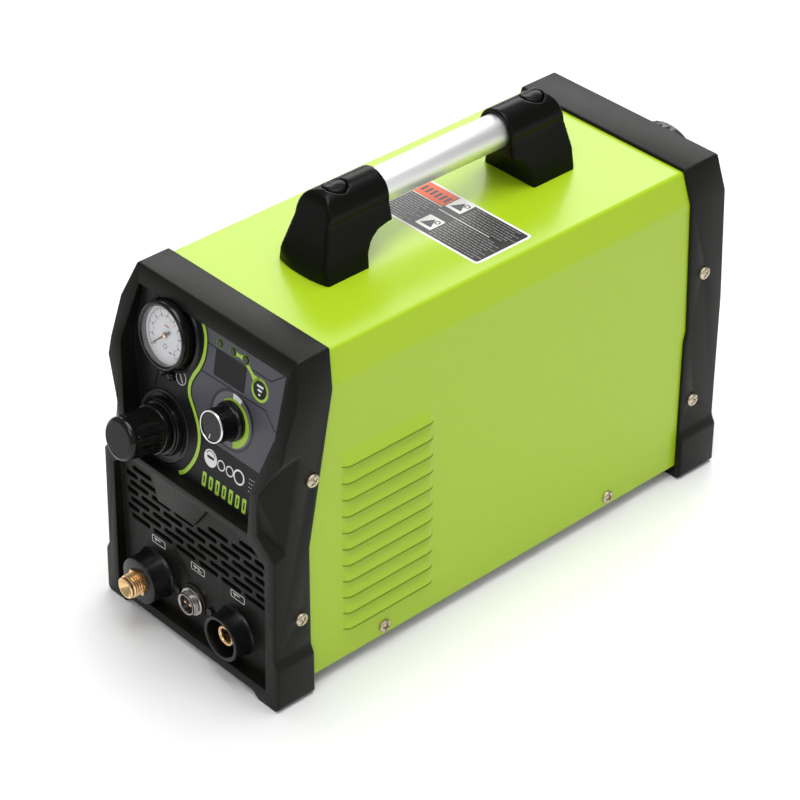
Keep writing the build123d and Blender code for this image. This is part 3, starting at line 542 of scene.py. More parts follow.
class Finish(Enum):
    """Every finish of the unit."""

    BLACK = MouldedPlastic("black_shell", (0.0050, 0.0053, 0.0038), 0.40, 0.25, 1000.0, 0.01, 0.17)
    HANDLE = MouldedPlastic("handle_black", (0.0030, 0.0032, 0.0026), 0.27, 0.08, 1000.0, 0.0, 0.11)
    KNOB = MouldedPlastic("knob_black", (0.010, 0.010, 0.010), 0.30, 0.10, 1400.0, 0.03, 0.45)
    SOCKET = MouldedPlastic("socket_black", (0.006, 0.006, 0.006), 0.28, 0.08, 1200.0, 0.0, 0.35)
    RUBBER = MouldedPlastic("black_rubber", (0.02, 0.02, 0.02), 0.7, 0.2, 700.0, 0.05, 0.3)
    GREEN = GlossPaint("green_paint", srgb("a5c51c"), 0.34, 0.24)
    # Darker green with two uses: painted shadow along the louvre lips, and the olive print of the lamp
    # rings.
    SHADE = GlossPaint("green_groove", srgb("76931c"), 0.60, 0.0, 0.06, 0.08)
    FILM = MouldedPlastic("printed_film", srgb("141415"), 0.40, 0.05, 1600.0, 0.0, 0.18)
    FILM_LIGHT = MouldedPlastic("film_grey", srgb("484851"), 0.42, 0.05, 1600.0, 0.0, 0.40)
    STEEL = WorkedMetal("plated_steel", (0.62, 0.62, 0.60), 0.35, (500.0, 500.0, 500.0))
    TUBE = WorkedMetal("tube_aluminium", (0.95, 0.95, 0.95), 0.46, (1500.0, 40.0, 1500.0))
    ZINC = WorkedMetal("yellow_zinc", (0.56, 0.49, 0.37), 0.36, (400.0, 400.0, 400.0))
    BRASS = WorkedMetal("brass_metal", (0.93, 0.65, 0.34), 0.26, (300.0, 300.0, 300.0), 0.02)
    CHROME = WorkedMetal("chrome_metal", (0.50, 0.48, 0.46), 0.20, (300.0, 300.0, 300.0), 0.02)
    COPPER = WorkedMetal("copper_winding", (0.80, 0.36, 0.16), 0.25, (300.0, 1500.0, 300.0))
    WINDOW = Ink("smoked_window", (0.010, 0.010, 0.012), 0.08)
    LAMP = Ink("lamp_lens", (0.012, 0.014, 0.012), 0.15)
    BOARD = Ink("circuit_board", (0.03, 0.16, 0.07), 0.45)
    FERRITE = Ink("dark_ferrite", (0.06, 0.06, 0.065), 0.7)
    DIAL = Ink("white_dial", (0.72, 0.73, 0.76), 0.5)
    CLEAR = ClearPlastic("clear_lens", (0.97, 0.98, 0.98), 0.04, 0.92)
    GLOSS_BLACK = MouldedPlastic("gloss_black", (0.005, 0.005, 0.005), 0.16, 0.03, 700.0, 0.0, 0.32)
    CAP = MouldedPlastic("knob_cap_face", (0.009, 0.010, 0.008), 0.30, 0.05, 1200.0, 0.0, 0.18)
    RING = WorkedMetal("bright_ring", (0.72, 0.72, 0.72), 0.18, (300.0, 300.0, 300.0), 0.02)
    DIAL_GREY = Ink("dial_grey", srgb("66666b"), 0.45)
    SCALE_GREY = Ink("scale_grey", srgb("44464c"), 0.5)
    SCALE_RED = Ink("scale_red", srgb("b4534b"), 0.5)
    WHITE = Ink("white_print", (0.80, 0.80, 0.78), 0.45)
    LIME = Ink("lime_print", srgb("a3cb36"), 0.42)
    # Black print; also used for painted shade in the torch stub's bore, the earth contact's key slot and the
    # sheet inside the cover.
    DARK = Ink("black_print", (0.012, 0.012, 0.012), 0.4)
    ORANGE = Ink("orange_print", srgb("e8571c"), 0.45)
    GREY = Ink("grey_print", srgb("9a9a9c"), 0.45)


class Workshop:
    """Keeps the built materials, and finishes every mesh the same way."""

    def __init__(self) -> None:
        """Builds the shared effects; materials are built when first used."""
        self.effects = SharedEffects.made()
        self.built: dict[Finish, bpy.types.Material] = {}
        behaviour = frame["record"]["behaviour"]["bodies"]
        self.body_of = {node: body for body, group in behaviour.items() for node in group}
        self.slot_of = {s["node"]: s["material_slot"] for s in frame["record"]["subparts"]}

    def material(self, finish: Finish) -> bpy.types.Material:
        """The material of a finish.

        Args:
            finish: which one.

        Returns:
            The material, built once.
        """
        if finish not in self.built:
            self.built[finish] = finish.value.build(self.effects)
        return self.built[finish]

    def add(
        self, name: str, mesh: bpy.types.Mesh, finish: Finish, body: str = "housing"
    ) -> bpy.types.Object:
        """Puts a mesh in the scene as a piece that rides on a body.

        Args:
            name: the piece's name.
            mesh: its mesh, in metres, in the frame of the whole unit.
            finish: its finish.
            body: the moving body that carries it.

        Returns:
            The piece.
        """
        piece = bpy.data.objects.new(name, mesh)
        bpy.context.scene.collection.objects.link(piece)
        mesh.materials.clear()
        mesh.materials.append(self.material(finish))
        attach(piece, body)
        return piece

    def stands_for(self, piece: bpy.types.Object, node: str) -> bpy.types.Object:
        """Lets a piece take the place of a node.

        Args:
            piece: the piece.
            node: the node it stands for.

        Returns:
            The same piece.
        """
        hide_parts(node)
        return piece

    def keep(self, node: str, finish: Finish) -> None:
        """Shows a node as it is, with a finish.

        Args:
            node: the node.
            finish: its finish.
        """
        mesh = frame["nodes"][node].data
        mesh.materials.clear()
        mesh.materials.append(self.material(finish))

    def merged(self, node: str) -> bmesh.types.BMesh:
        """A work mesh of a node with its triangles joined at their corners.

        Args:
            node: the node.

        Returns:
            The work mesh.
        """
        source = bmesh.new()
        source.from_mesh(frame["nodes"][node].data)
        bmesh.ops.remove_doubles(source, verts=source.verts, dist=2e-6)
        return source

    def reshaped(
        self, node: str, source: bmesh.types.BMesh, steps: list[dict], finish: Finish, angle: float = 32.0
    ) -> bpy.types.Object:
        """A piece from a work mesh and modifiers, standing for its node.

        Args:
            node: the node.
            source: the work mesh, which is freed.
            steps: settings of each modifier, in order.
            finish: its finish.
            angle: edges sharper than this stay sharp.

        Returns:
            The piece.
        """
        mesh = bpy.data.meshes.new("soft_" + node)
        source.to_mesh(mesh)
        source.free()
        mesh = baked(mesh, steps)
        smooth_by_angle(mesh, angle)
        piece = self.add("soft_" + node, mesh, finish, self.body_of[node])
        return self.stands_for(piece, node)

    def turned(
        self,
        name: str,
        place: tuple[WorkPlane, Point2],
        profile: list[Point2],
        finish: Finish,
        body: str = "housing",
        segments: int = 72,
        angle: float = 35.0,
        node: str = "",
    ) -> bpy.types.Object:
        """A turned piece, which may stand for a node.

        Args:
            name: the piece's name.
            place: the plane it stands on, and its middle there.
            profile: (radius, height) points in order.
            finish: its finish.
            body: the moving body that carries it.
            segments: steps round the circle.
            angle: edges sharper than this stay sharp.
            node: the node it stands for, if any.

        Returns:
            The piece.
        """
        work = bmesh.new()
        add_lathe(work, place[0], place[1], profile, segments)
        piece = self.add(name, finished(work, name, angle), finish, body)
        return self.stands_for(piece, node) if node else piece

    def softened(
        self, node: str, finish: Finish, width: float = 0.5, segments: int = 2
    ) -> bpy.types.Object:
        """A copy of a node with its sharp edges rounded, standing for it.

        Args:
            node: the node.
            finish: its finish.
            width: width of the rounding in millimetres.
            segments: steps of the rounding.

        Returns:
            The piece.
        """
        source = self.merged(node)
        flatten(source)
        return self.reshaped(node, source, [rounding(width, segments)], finish)

    def edged(
        self, node: str, finish: Finish, widths: Point2, half_width: float, top: float
    ) -> bpy.types.Object:
        """A copy of a node whose outer edges are rounded more than the rest, standing for it.

        Args:
            node: the node.
            finish: its finish.
            widths: rounding of the outer edges and of the others, in millimetres.
            half_width: half width of the whole shell.
            top: height of the whole shell.

        Returns:
            The piece.
        """
        source = self.merged(node)
        flatten(source)
        weight = source.edges.layers.float.new("bevel_weight_edge")
        for edge in source.edges:
            ends = [vert.co for vert in edge.verts]
            outer = all(abs(p.x) > (half_width - 2.0) * MM or p.z > (top - 1.0) * MM for p in ends)
            if edge.calc_face_angle(0.0) > math.radians(26):
                edge[weight] = 1.0 if outer and edge.calc_length() > 6 * MM else widths[1] / widths[0]
        settings = rounding(widths[0], 3)
        settings["limit_method"] = "WEIGHT"
        return self.reshaped(node, source, [settings], finish)

    def melted(
        self, node: str, finish: Finish, voxel: float, rounds: int, floor: float, sunk: float
    ) -> bpy.types.Object:
        """A copy of a node with all its edges softly rounded, standing for it.

        Args:
            node: the node.
            finish: its finish.
            voxel: size of the fine grid it is redrawn on, in millimetres.
            rounds: how many times it is smoothed.
            floor: height of its underside, in millimetres.
            sunk: how far the underside is carried into what it stands on.

        Returns:
            The piece.
        """
        source = self.merged(node)
        for vert in source.verts:
            if vert.co.z < (floor + 0.05) * MM:
                vert.co.z -= sunk * MM
        steps = [
            {"type": "REMESH", "mode": "VOXEL", "voxel_size": voxel * MM, "use_smooth_shade": True},
            {"type": "SMOOTH", "factor": 0.5, "iterations": rounds},
            {"type": "DECIMATE", "ratio": 0.45},
        ]
        return self.reshaped(node, source, steps, finish, 50.0)


# ------------------------------------------------------------------ mesh tools
def rounding(width: float, segments: int, angle: float = 28.0) -> dict:
    """Settings of a bevel modifier for sharp edges only.

    Args:
        width: width in millimetres.
        segments: steps of the rounding.
        angle: edges sharper than this many degrees are rounded.

    Returns:
        The modifier's settings.
    """
    return {
        "type": "BEVEL",
        "width": width * MM,
        "segments": segments,
        "limit_method": "ANGLE",
        "angle_limit": math.radians(angle),
        "use_clamp_overlap": False,
        "miter_outer": "MITER_ARC",
        "harden_normals": False,
    }


def baked(mesh: bpy.types.Mesh, modifiers: list[dict]) -> bpy.types.Mesh:
    """A plain mesh with modifiers worked into it.

    Args:
        mesh: the starting mesh.
        modifiers: settings of each modifier, in order.

    Returns:
        The new mesh.
    """
    carrier = bpy.data.objects.new("carrier", mesh)
    bpy.context.scene.collection.objects.link(carrier)
    for settings in modifiers:
        modifier = carrier.modifiers.new(settings["type"].lower(), settings["type"])
        for key, value in settings.items():
            if key != "type":
                setattr(modifier, key, value)
    bpy.context.view_layer.update()
    evaluated = carrier.evaluated_get(bpy.context.evaluated_depsgraph_get())
    result = bpy.data.meshes.new_from_object(evaluated)
    name = mesh.name
    bpy.data.objects.remove(carrier)
    bpy.data.meshes.remove(mesh)
    result.name = name
    return result


def flatten(work: bmesh.types.BMesh) -> None:
    """Joins triangles that lie in one plane into whole faces.

    Args:
        work: the work mesh.
    """
    limit = math.radians(0.4)
    parts = {"verts": work.verts, "edges": work.edges}
    bmesh.ops.dissolve_limit(work, angle_limit=limit, delimit={"NORMAL"}, **parts)


def smooth_by_angle(mesh: bpy.types.Mesh, angle: float = 32.0) -> None:
    """Smooth shading with sharp edges where faces turn more than an angle.

    Args:
        mesh: the mesh.
        angle: the angle in degrees.
    """
    work = bmesh.new()
    work.from_mesh(mesh)
    limit = math.radians(angle)
    for face in work.faces:
        face.smooth = True
    for edge in work.edges:
        edge.smooth = len(edge.link_faces) == 2 and edge.calc_face_angle(0.0) < limit
    work.to_mesh(mesh)
    work.free()


def finished(work: bmesh.types.BMesh, name: str, angle: float = 32.0) -> bpy.types.Mesh:
    """A mesh from a work mesh, with outward faces and smooth shading.

    Args:
        work: the work mesh, which is freed.
        name: the mesh's name.
        angle: edges sharper than this stay sharp.

    Returns:
        The mesh.
    """
    bmesh.ops.recalc_face_normals(work, faces=work.faces)
    mesh = bpy.data.meshes.new(name)
    work.to_mesh(mesh)
    work.free()
    smooth_by_angle(mesh, angle)
    return mesh


def add_prism(
    work: bmesh.types.BMesh, plane: WorkPlane, outline: list[Point2], low: float, high: float
) -> None:
    """Adds a straight-sided block over an outline.

    Args:
        work: the work mesh.
        plane: the plane of the outline.
        outline: its corners in order.
        low: height of the bottom.
        high: height of the top.
    """
    below = [work.verts.new(plane.point(u, v, low)) for u, v in outline]
    above = [work.verts.new(plane.point(u, v, high)) for u, v in outline]
    work.faces.new(below[::-1])
    work.faces.new(above)
    count = len(outline)
    for i in range(count):
        j = (i + 1) % count
        work.faces.new((below[i], below[j], above[j], above[i]))


def add_lathe(
    work: bmesh.types.BMesh, plane: WorkPlane, centre: Point2, profile: list[Point2], segments: int = 64
) -> None:
    """Adds a turned shape standing on a plane.

    Args:
        work: the work mesh.
        plane: the plane it stands on.
        centre: its middle on the plane.
        profile: (radius, height) points in order; a radius of 0 closes an end.
        segments: steps round the circle.
    """
    rings: list[list[bmesh.types.BMVert]] = []
    for radius, height in profile:
        if radius <= 0:
            rings.append([work.verts.new(plane.point(centre[0], centre[1], height))])
            continue
        ring = []
        for step in range(segments):
            turn = 2 * math.pi * step / segments
            u = centre[0] + radius * math.cos(turn)
            v = centre[1] + radius * math.sin(turn)
            ring.append(work.verts.new(plane.point(u, v, height)))
        rings.append(ring)
    closed = profile[0] == profile[-1] and profile[0][0] > 0
    if closed:
        rings[-1] = rings[0]
    for low, high in zip(rings, rings[1:]):
        for step in range(segments):
            after = (step + 1) % segments
            corners = [low[i % len(low)] for i in (step, after)]
            corners += [high[i % len(high)] for i in (after, step)]
            unique = list(dict.fromkeys(corners))
            if len(unique) > 2:
                work.faces.new(unique)


def circle_points(
    centre: Point2, radius: float, count: int = 48, start: float = 0.0, turn: float = 360.0
) -> list[Point2]:
    """Points along a circle or an arc.

    Args:
        centre: its middle.
        radius: its radius.
        count: how many points.
        start: angle of the first point, in degrees.
        turn: how far it goes, in degrees; 360 leaves the last point out.

    Returns:
        The points.
    """
    steps = count if abs(turn) >= 360 else count - 1
    result = []
    for i in range(count):
        angle = math.radians(start + turn * i / steps)
        result.append((centre[0] + radius * math.cos(angle), centre[1] + radius * math.sin(angle)))
    return result


def smooth_path(points: list[Point2], steps: int = 8) -> list[Point2]:
    """A flowing path through points.

    Args:
        points: the points.
        steps: pieces between neighbours.

    Returns:
        The denser path.
    """
    padded = [points[0], *points, points[-1]]
    result = []
    for a, b, c, d in zip(padded, padded[1:], padded[2:], padded[3:]):
        for i in range(steps):
            t = i / steps
            result.append(
                tuple(
                    0.5
                    * (
                        2 * b[k]
                        + (c[k] - a[k]) * t
                        + (2 * a[k] - 5 * b[k] + 4 * c[k] - d[k]) * t * t
                        + (3 * b[k] - a[k] - 3 * c[k] + d[k]) * t**3
                    )
                    for k in (0, 1)
                )
            )
    result.append(points[-1])
    return result


def ribbon_outline(path: list[Point2], width: float) -> list[Point2]:
    """The outline of a band of even width along a path.

    Args:
        path: its middle line.
        width: its width.

    Returns:
        The outline.
    """
    left, right = [], []
    for i, point in enumerate(path):
        before = path[max(i - 1, 0)]
        after = path[min(i + 1, len(path) - 1)]
        run = Vector((after[0] - before[0], after[1] - before[1])).normalized()
        aside = Vector((-run.y, run.x)) * (width / 2)
        left.append((point[0] + aside.x, point[1] + aside.y))
        right.append((point[0] - aside.x, point[1] - aside.y))
    return left + right[::-1]


def rounded_box(centre: Point2, size: Point2, radius: float, steps: int = 6) -> list[Point2]:
    """Outline of a rectangle with round corners.

    Args:
        centre: its middle.
        size: its width and height.
        radius: the corner radius.
        steps: points at each corner.

    Returns:
        The outline.
    """
    half_w, half_h = size[0] / 2 - radius, size[1] / 2 - radius
    result = []
    for index, (sx, sy) in enumerate(((1, 1), (-1, 1), (-1, -1), (1, -1))):
        middle = (centre[0] + sx * half_w, centre[1] + sy * half_h)
        result += circle_points(middle, radius, steps, 90.0 * index, 90.0)
    return result


def add_flat(work: bmesh.types.BMesh, plane: WorkPlane, outline: list[Point2], height: float) -> None:
    """Adds one flat printed shape.

    Args:
        work: the work mesh.
        plane: the plane it is printed on.
        outline: its outline.
        height: its height over the plane.
    """
    work.faces.new([work.verts.new(plane.point(u, v, height)) for u, v in outline])


def add_flat_ring(
    work: bmesh.types.BMesh,
    plane: WorkPlane,
    centre: Point2,
    radii: Point2,
    height: float,
    start: float = 0.0,
    turn: float = 360.0,
) -> None:
    """Adds a flat printed ring, or part of one.

    Args:
        work: the work mesh.
        plane: the plane it is printed on.
        centre: its middle.
        radii: inner and outer radius.
        height: its height over the plane.
        start: where an arc starts, in degrees.
        turn: how far it goes, in degrees.
    """
    count = max(8, int(abs(turn) / 5)) + 1
    inner = circle_points(centre, radii[0], count, start, turn if abs(turn) < 360 else 359.999)
    outer = circle_points(centre, radii[1], count, start, turn if abs(turn) < 360 else 359.999)
    low = [work.verts.new(plane.point(u, v, height)) for u, v in inner]
    high = [work.verts.new(plane.point(u, v, height)) for u, v in outer]
    for i in range(count - 1):
        work.faces.new((low[i], low[i + 1], high[i + 1], high[i]))


def printed(work: bmesh.types.BMesh, name: str, plane: WorkPlane) -> bpy.types.Mesh:
    """A mesh of printed shapes, all facing out of their plane.

    Args:
        work: the work mesh, which is freed.
        name: the mesh's name.
        plane: the plane they are printed on.

    Returns:
        The mesh.
    """
    out = plane.out
    work.normal_update()
    for face in work.faces:
        if face.normal.dot(out) < 0:
            face.normal_flip()
    mesh = bpy.data.meshes.new(name)
    work.to_mesh(mesh)
    work.free()
    return mesh


# ------------------------------------------------------------------ repeated pieces
def geometry_group(name: str, inputs: dict[str, str]) -> bpy.types.NodeTree:
    """An empty geometry node group with a mesh in and a mesh out.

    Args:
        name: the group's name.
        inputs: the other inputs with their socket types.

    Returns:
        The group, with its input and output nodes made.
    """
    group = bpy.data.node_groups.new(name, "GeometryNodeTree")
    group.interface.new_socket(name="Geometry", in_out="INPUT", socket_type="NodeSocketGeometry")
    for label, kind in inputs.items():
        group.interface.new_socket(name=label, in_out="INPUT", socket_type=kind)
    group.interface.new_socket(name="Geometry", in_out="OUTPUT", socket_type="NodeSocketGeometry")
    group.nodes.new("NodeGroupInput").name = "in"
    group.nodes.new("NodeGroupOutput").name = "out"
    return group


def finish_instances(group: bpy.types.NodeTree, instances: bpy.types.Node) -> None:
    """Makes the instances real, gives them their finish and joins them to the output.

    Args:
        group: the group being built.
        instances: the node that makes the instances.
    """
    real = group.nodes.new("GeometryNodeRealizeInstances")
    coloured = group.nodes.new("GeometryNodeSetMaterial")
    group.links.new(instances.outputs["Instances"], real.inputs["Geometry"])
    group.links.new(real.outputs["Geometry"], coloured.inputs["Geometry"])
    group.links.new(group.nodes["in"].outputs["Finish"], coloured.inputs["Material"])
    group.links.new(coloured.outputs["Geometry"], group.nodes["out"].inputs["Geometry"])


def mirrored_places_group() -> bpy.types.NodeTree:
    """Puts a piece at every point, turned half round where X is negative.

    A fixed seed gives each piece a tilt of its own, within the input's range.

    Returns:
        The geometry node group.
    """
    group = geometry_group(
        "mirrored_places",
        {
            "Piece": "NodeSocketObject",
            "Tilt": "NodeSocketFloat",
            "Seed": "NodeSocketInt",
            "Finish": "NodeSocketMaterial",
        },
    )
    nodes, links = group.nodes, group.links
    place = nodes.new("GeometryNodeInputPosition")
    split = nodes.new("ShaderNodeSeparateXYZ")
    left = nodes.new("ShaderNodeMath")
    left.operation = "LESS_THAN"
    left.inputs[1].default_value = 0.0
    half_turn = nodes.new("ShaderNodeMath")
    half_turn.operation = "MULTIPLY"
    half_turn.inputs[1].default_value = math.pi
    spread = nodes.new("FunctionNodeRandomValue")
    spread.data_type = "FLOAT"
    negative = nodes.new("ShaderNodeMath")
    negative.operation = "MULTIPLY"
    negative.inputs[1].default_value = -1.0
    turn = nodes.new("ShaderNodeCombineXYZ")
    piece = nodes.new("GeometryNodeObjectInfo")
    placed = nodes.new("GeometryNodeInstanceOnPoints")
    links.new(place.outputs[0], split.inputs[0])
    links.new(split.outputs["X"], left.inputs[0])
    links.new(left.outputs[0], half_turn.inputs[0])
    links.new(nodes["in"].outputs["Tilt"], negative.inputs[0])
    links.new(negative.outputs[0], spread.inputs[2])
    links.new(nodes["in"].outputs["Tilt"], spread.inputs[3])
    links.new(nodes["in"].outputs["Seed"], spread.inputs["Seed"])
    links.new(spread.outputs[1], turn.inputs["X"])
    links.new(half_turn.outputs[0], turn.inputs["Z"])
    links.new(nodes["in"].outputs["Piece"], piece.inputs["Object"])
    links.new(nodes["in"].outputs["Geometry"], placed.inputs["Points"])
    links.new(piece.outputs["Geometry"], placed.inputs["Instance"])
    links.new(turn.outputs[0], placed.inputs["Rotation"])
    finish_instances(group, placed)
    return group


def ring_places_group() -> bpy.types.NodeTree:
    """Puts a piece evenly round the Z axis, each turned to face outwards.

    Returns:
        The geometry node group.
    """
    group = geometry_group(
        "ring_places",
        {
            "Piece": "NodeSocketObject",
            "Count": "NodeSocketInt",
            "Radius": "NodeSocketFloat",
            "Finish": "NodeSocketMaterial",
        },
    )
    nodes, links = group.nodes, group.links
    circle = nodes.new("GeometryNodeMeshCircle")
    index = nodes.new("GeometryNodeInputIndex")
    share = nodes.new("ShaderNodeMath")
    share.operation = "DIVIDE"
    angle = nodes.new("ShaderNodeMath")
    angle.operation = "MULTIPLY"
    angle.inputs[1].default_value = 2 * math.pi
    turn = nodes.new("ShaderNodeCombineXYZ")
    piece = nodes.new("GeometryNodeObjectInfo")
    placed = nodes.new("GeometryNodeInstanceOnPoints")
    links.new(nodes["in"].outputs["Count"], circle.inputs["Vertices"])
    links.new(nodes["in"].outputs["Radius"], circle.inputs["Radius"])
    links.new(index.outputs[0], share.inputs[0])
    links.new(nodes["in"].outputs["Count"], share.inputs[1])
    links.new(share.outputs[0], angle.inputs[0])
    links.new(angle.outputs[0], turn.inputs["Z"])
    links.new(nodes["in"].outputs["Piece"], piece.inputs["Object"])
    links.new(circle.outputs["Mesh"], placed.inputs["Points"])
    links.new(piece.outputs["Geometry"], placed.inputs["Instance"])
    links.new(turn.outputs[0], placed.inputs["Rotation"])
    finish_instances(group, placed)
    return group


def repeated(
    name: str,
    group: bpy.types.NodeTree,
    piece: bpy.types.Mesh,
    values: dict[str, object],
    points: list[Vector],
) -> bpy.types.Mesh:
    """A plain mesh of one piece repeated by a geometry node group.

    Args:
        name: the new mesh's name.
        group: the geometry node group.
        piece: the mesh to repeat.
        values: the group's other inputs by name.
        points: the places the group starts from.

    Returns:
        The repeated mesh.
    """
    seed = bpy.data.meshes.new(name)
    seed.from_pydata([tuple(p) for p in points], [], [])
    carrier = bpy.data.objects.new(name + "_carrier", seed)
    pattern = bpy.data.objects.new(name + "_pattern", piece)
    for thing in (carrier, pattern):
        bpy.context.scene.collection.objects.link(thing)
    modifier = carrier.modifiers.new("repeat", "NODES")
    modifier.node_group = group
    sockets = {item.name: item.identifier for item in group.interface.items_tree if item.in_out == "INPUT"}
    for label, value in {"Piece": pattern, **values}.items():
        modifier[sockets[label]] = value
    bpy.context.view_layer.update()
    evaluated = carrier.evaluated_get(bpy.context.evaluated_depsgraph_get())
    result = bpy.data.meshes.new_from_object(evaluated)
    result.name = name + "_mesh"
    for thing in (carrier, pattern):
        bpy.data.objects.remove(thing)
    return result


def plane_matrix(plane: WorkPlane, centre: Point2, height: float = 0.0) -> Matrix:
    """The matrix that moves a mesh made round the Z axis onto a plane.

    Args:
        plane: the plane.
        centre: where the axis meets it.
        height: height over it.

    Returns:
        The matrix.
    """
    turn = Matrix((Vector(plane.across), Vector(plane.up), plane.out)).transposed().to_4x4()
    return Matrix.Translation(plane.point(centre[0], centre[1], height)) @ turn


FLAT = WorkPlane((0.0, 0.0, 0.0), (1.0, 0.0, 0.0), (0.0, 1.0, 0.0))


# ------------------------------------------------------------------ cover
@dataclass
class Cover:
    """The folded green cover with its louvres.

    Args:
        shop: the workshop.
        half_width: outer half width of its sides.
        top_half: half width of its top.
        top: height of its top.
        shoulder: height where the sloping strip meets the side.
        bottom: height of its lower edge.
        bend: radius of the folds.
        louvres: how many louvres each side has.
        louvre_pitch: distance between two louvres.
        louvre_low: height of the lowest one's lip.
        louvre_size: rise, length and height of a louvre.
        louvre_middle: how far behind the front edge their middle lies.
    """

    shop: Workshop
    half_width: float = 75.2
    top_half: float = 68.9
    top: float = 226.2
    shoulder: float = 205.5
    bottom: float = 9.3
    bend: float = 2.2
    louvres: int = 11
    louvre_pitch: float = 11.74
    louvre_low: float = 30.0
    louvre_size: Point3 = (2.8, 71.0, 10.8)
    louvre_middle: float = 62.4

    def section(self) -> list[Point2]:
        """The folded section, right bottom to left bottom, as (across, height).

        Returns:
            The points.
        """
        corners = [
            (self.half_width, self.bottom),
            (self.half_width, self.shoulder),
            (self.top_half, self.top),
            (-self.top_half, self.top),
            (-self.half_width, self.shoulder),
            (-self.half_width, self.bottom),
        ]
        result = [corners[0]]
        for before, here, after in zip(corners, corners[1:], corners[2:]):
            to_before = (Vector(before) - Vector(here)).normalized() * self.bend
            to_after = (Vector(after) - Vector(here)).normalized() * self.bend
            for step in range(5):
                t = step / 4
                a = Vector(here) + to_before * (1 - t)
                b = Vector(here) + to_after * t
                result.append(tuple(a.lerp(b, t)))
        result.append(corners[-1])
        return result

    def front_edge(self, height: float) -> float:
        """How far back the hidden front edge lies at a height.

        Args:
            height: the height.

        Returns:
            The distance behind the top front edge.
        """
        rise = max(0.0, (height - 103.0) / (self.top - 103.0))
        return -11.5 + 21.5 * rise

    def shell(self) -> bpy.types.Mesh:
        """The folded sheet.

        Returns:
            Its mesh.
        """
        work = bmesh.new()
        rows = []
        for x, z in self.section():
            stops = [self.front_edge(z), 30.0, 110.0, 220.0, 325.0]
            rows.append([work.verts.new(Vector((x, FRONT_Y + y, z)) * MM) for y in stops])
        for low, high in zip(rows, rows[1:]):
            for i in range(len(low) - 1):
                work.faces.new((low[i], low[i + 1], high[i + 1], high[i]))
        mesh = finished(work, "cover_shell", 60.0)
        thick = {"type": "SOLIDIFY", "thickness": 1.0 * MM, "offset": -1.0}
        return baked(mesh, [thick, {"type": "WEIGHTED_NORMAL", "keep_sharp": True}])

    def louvre(self, name: str, profile: list[Point2]) -> bpy.types.Mesh:
        """One pressed louvre round its own middle, standing out along X.

        Args:
            name: the mesh's name.
            profile: its section from top to lip, as shares of its rise and height.

        Returns:
            Its mesh.
        """
        rise, length, height = self.louvre_size
        work = bmesh.new()
        ends = [0.0, 0.010, 0.026, 0.048, 0.078, 0.115]
        places = ends + [1 - e for e in reversed(ends)]
        depths = [0.0, 0.22, 0.60, 0.86, 0.97, 1.0]
        shares = depths + depths[::-1]
        rows = []
        for place, share in zip(places, shares):
            y = (place - 0.5) * length
            rows.append([work.verts.new(Vector((rise * share * d, y, height * h)) * MM) for d, h in profile])
        for low, high in zip(rows, rows[1:]):
            for i in range(len(profile) - 1):
                work.faces.new((low[i], high[i], high[i + 1], low[i + 1]))
        return finished(work, name, 50.0)

    def build(self) -> None:
        """Adds the sheet, its louvres and the darker strips of painted shadow along their lips."""
        piece = self.shop.add("cover_sheet", self.shell(), Finish.GREEN)
        self.shop.stands_for(piece, "cover")
        places = []
        for index in range(self.louvres):
            for side in (1, -1):
                z = self.louvre_low + index * self.louvre_pitch
                places.append(Vector((side * self.half_width, FRONT_Y + self.louvre_middle, z)) * MM)
        slope = [(-0.02, 1.0), (0.05, 0.90), (0.22, 0.70), (0.55, 0.42), (0.84, 0.20)]
        slope += [(0.97, 0.09), (1.0, 0.04), (0.95, 0.0), (0.5, 0.0), (-0.3, 0.0)]
        # The lip strips are painted shadow: a darker green band along each louvre's lip, where its shadow
        # falls on the cover.
        lip = [(0.97, 0.09), (1.03, 0.085), (1.03, -0.01), (0.4, -0.01)]
        group = mirrored_places_group()
        for name, profile, finish in (("louvres", slope, Finish.GREEN), ("louvre_lips", lip, Finish.SHADE)):
            values = {"Tilt": 0.004, "Seed": 3, "Finish": self.shop.material(finish)}
            mesh = repeated(name, group, self.louvre(name + "_one", profile), values, places)
            self.shop.add("cover_" + name, mesh, finish)
        log.info("cover with %d louvres a side", self.louvres)


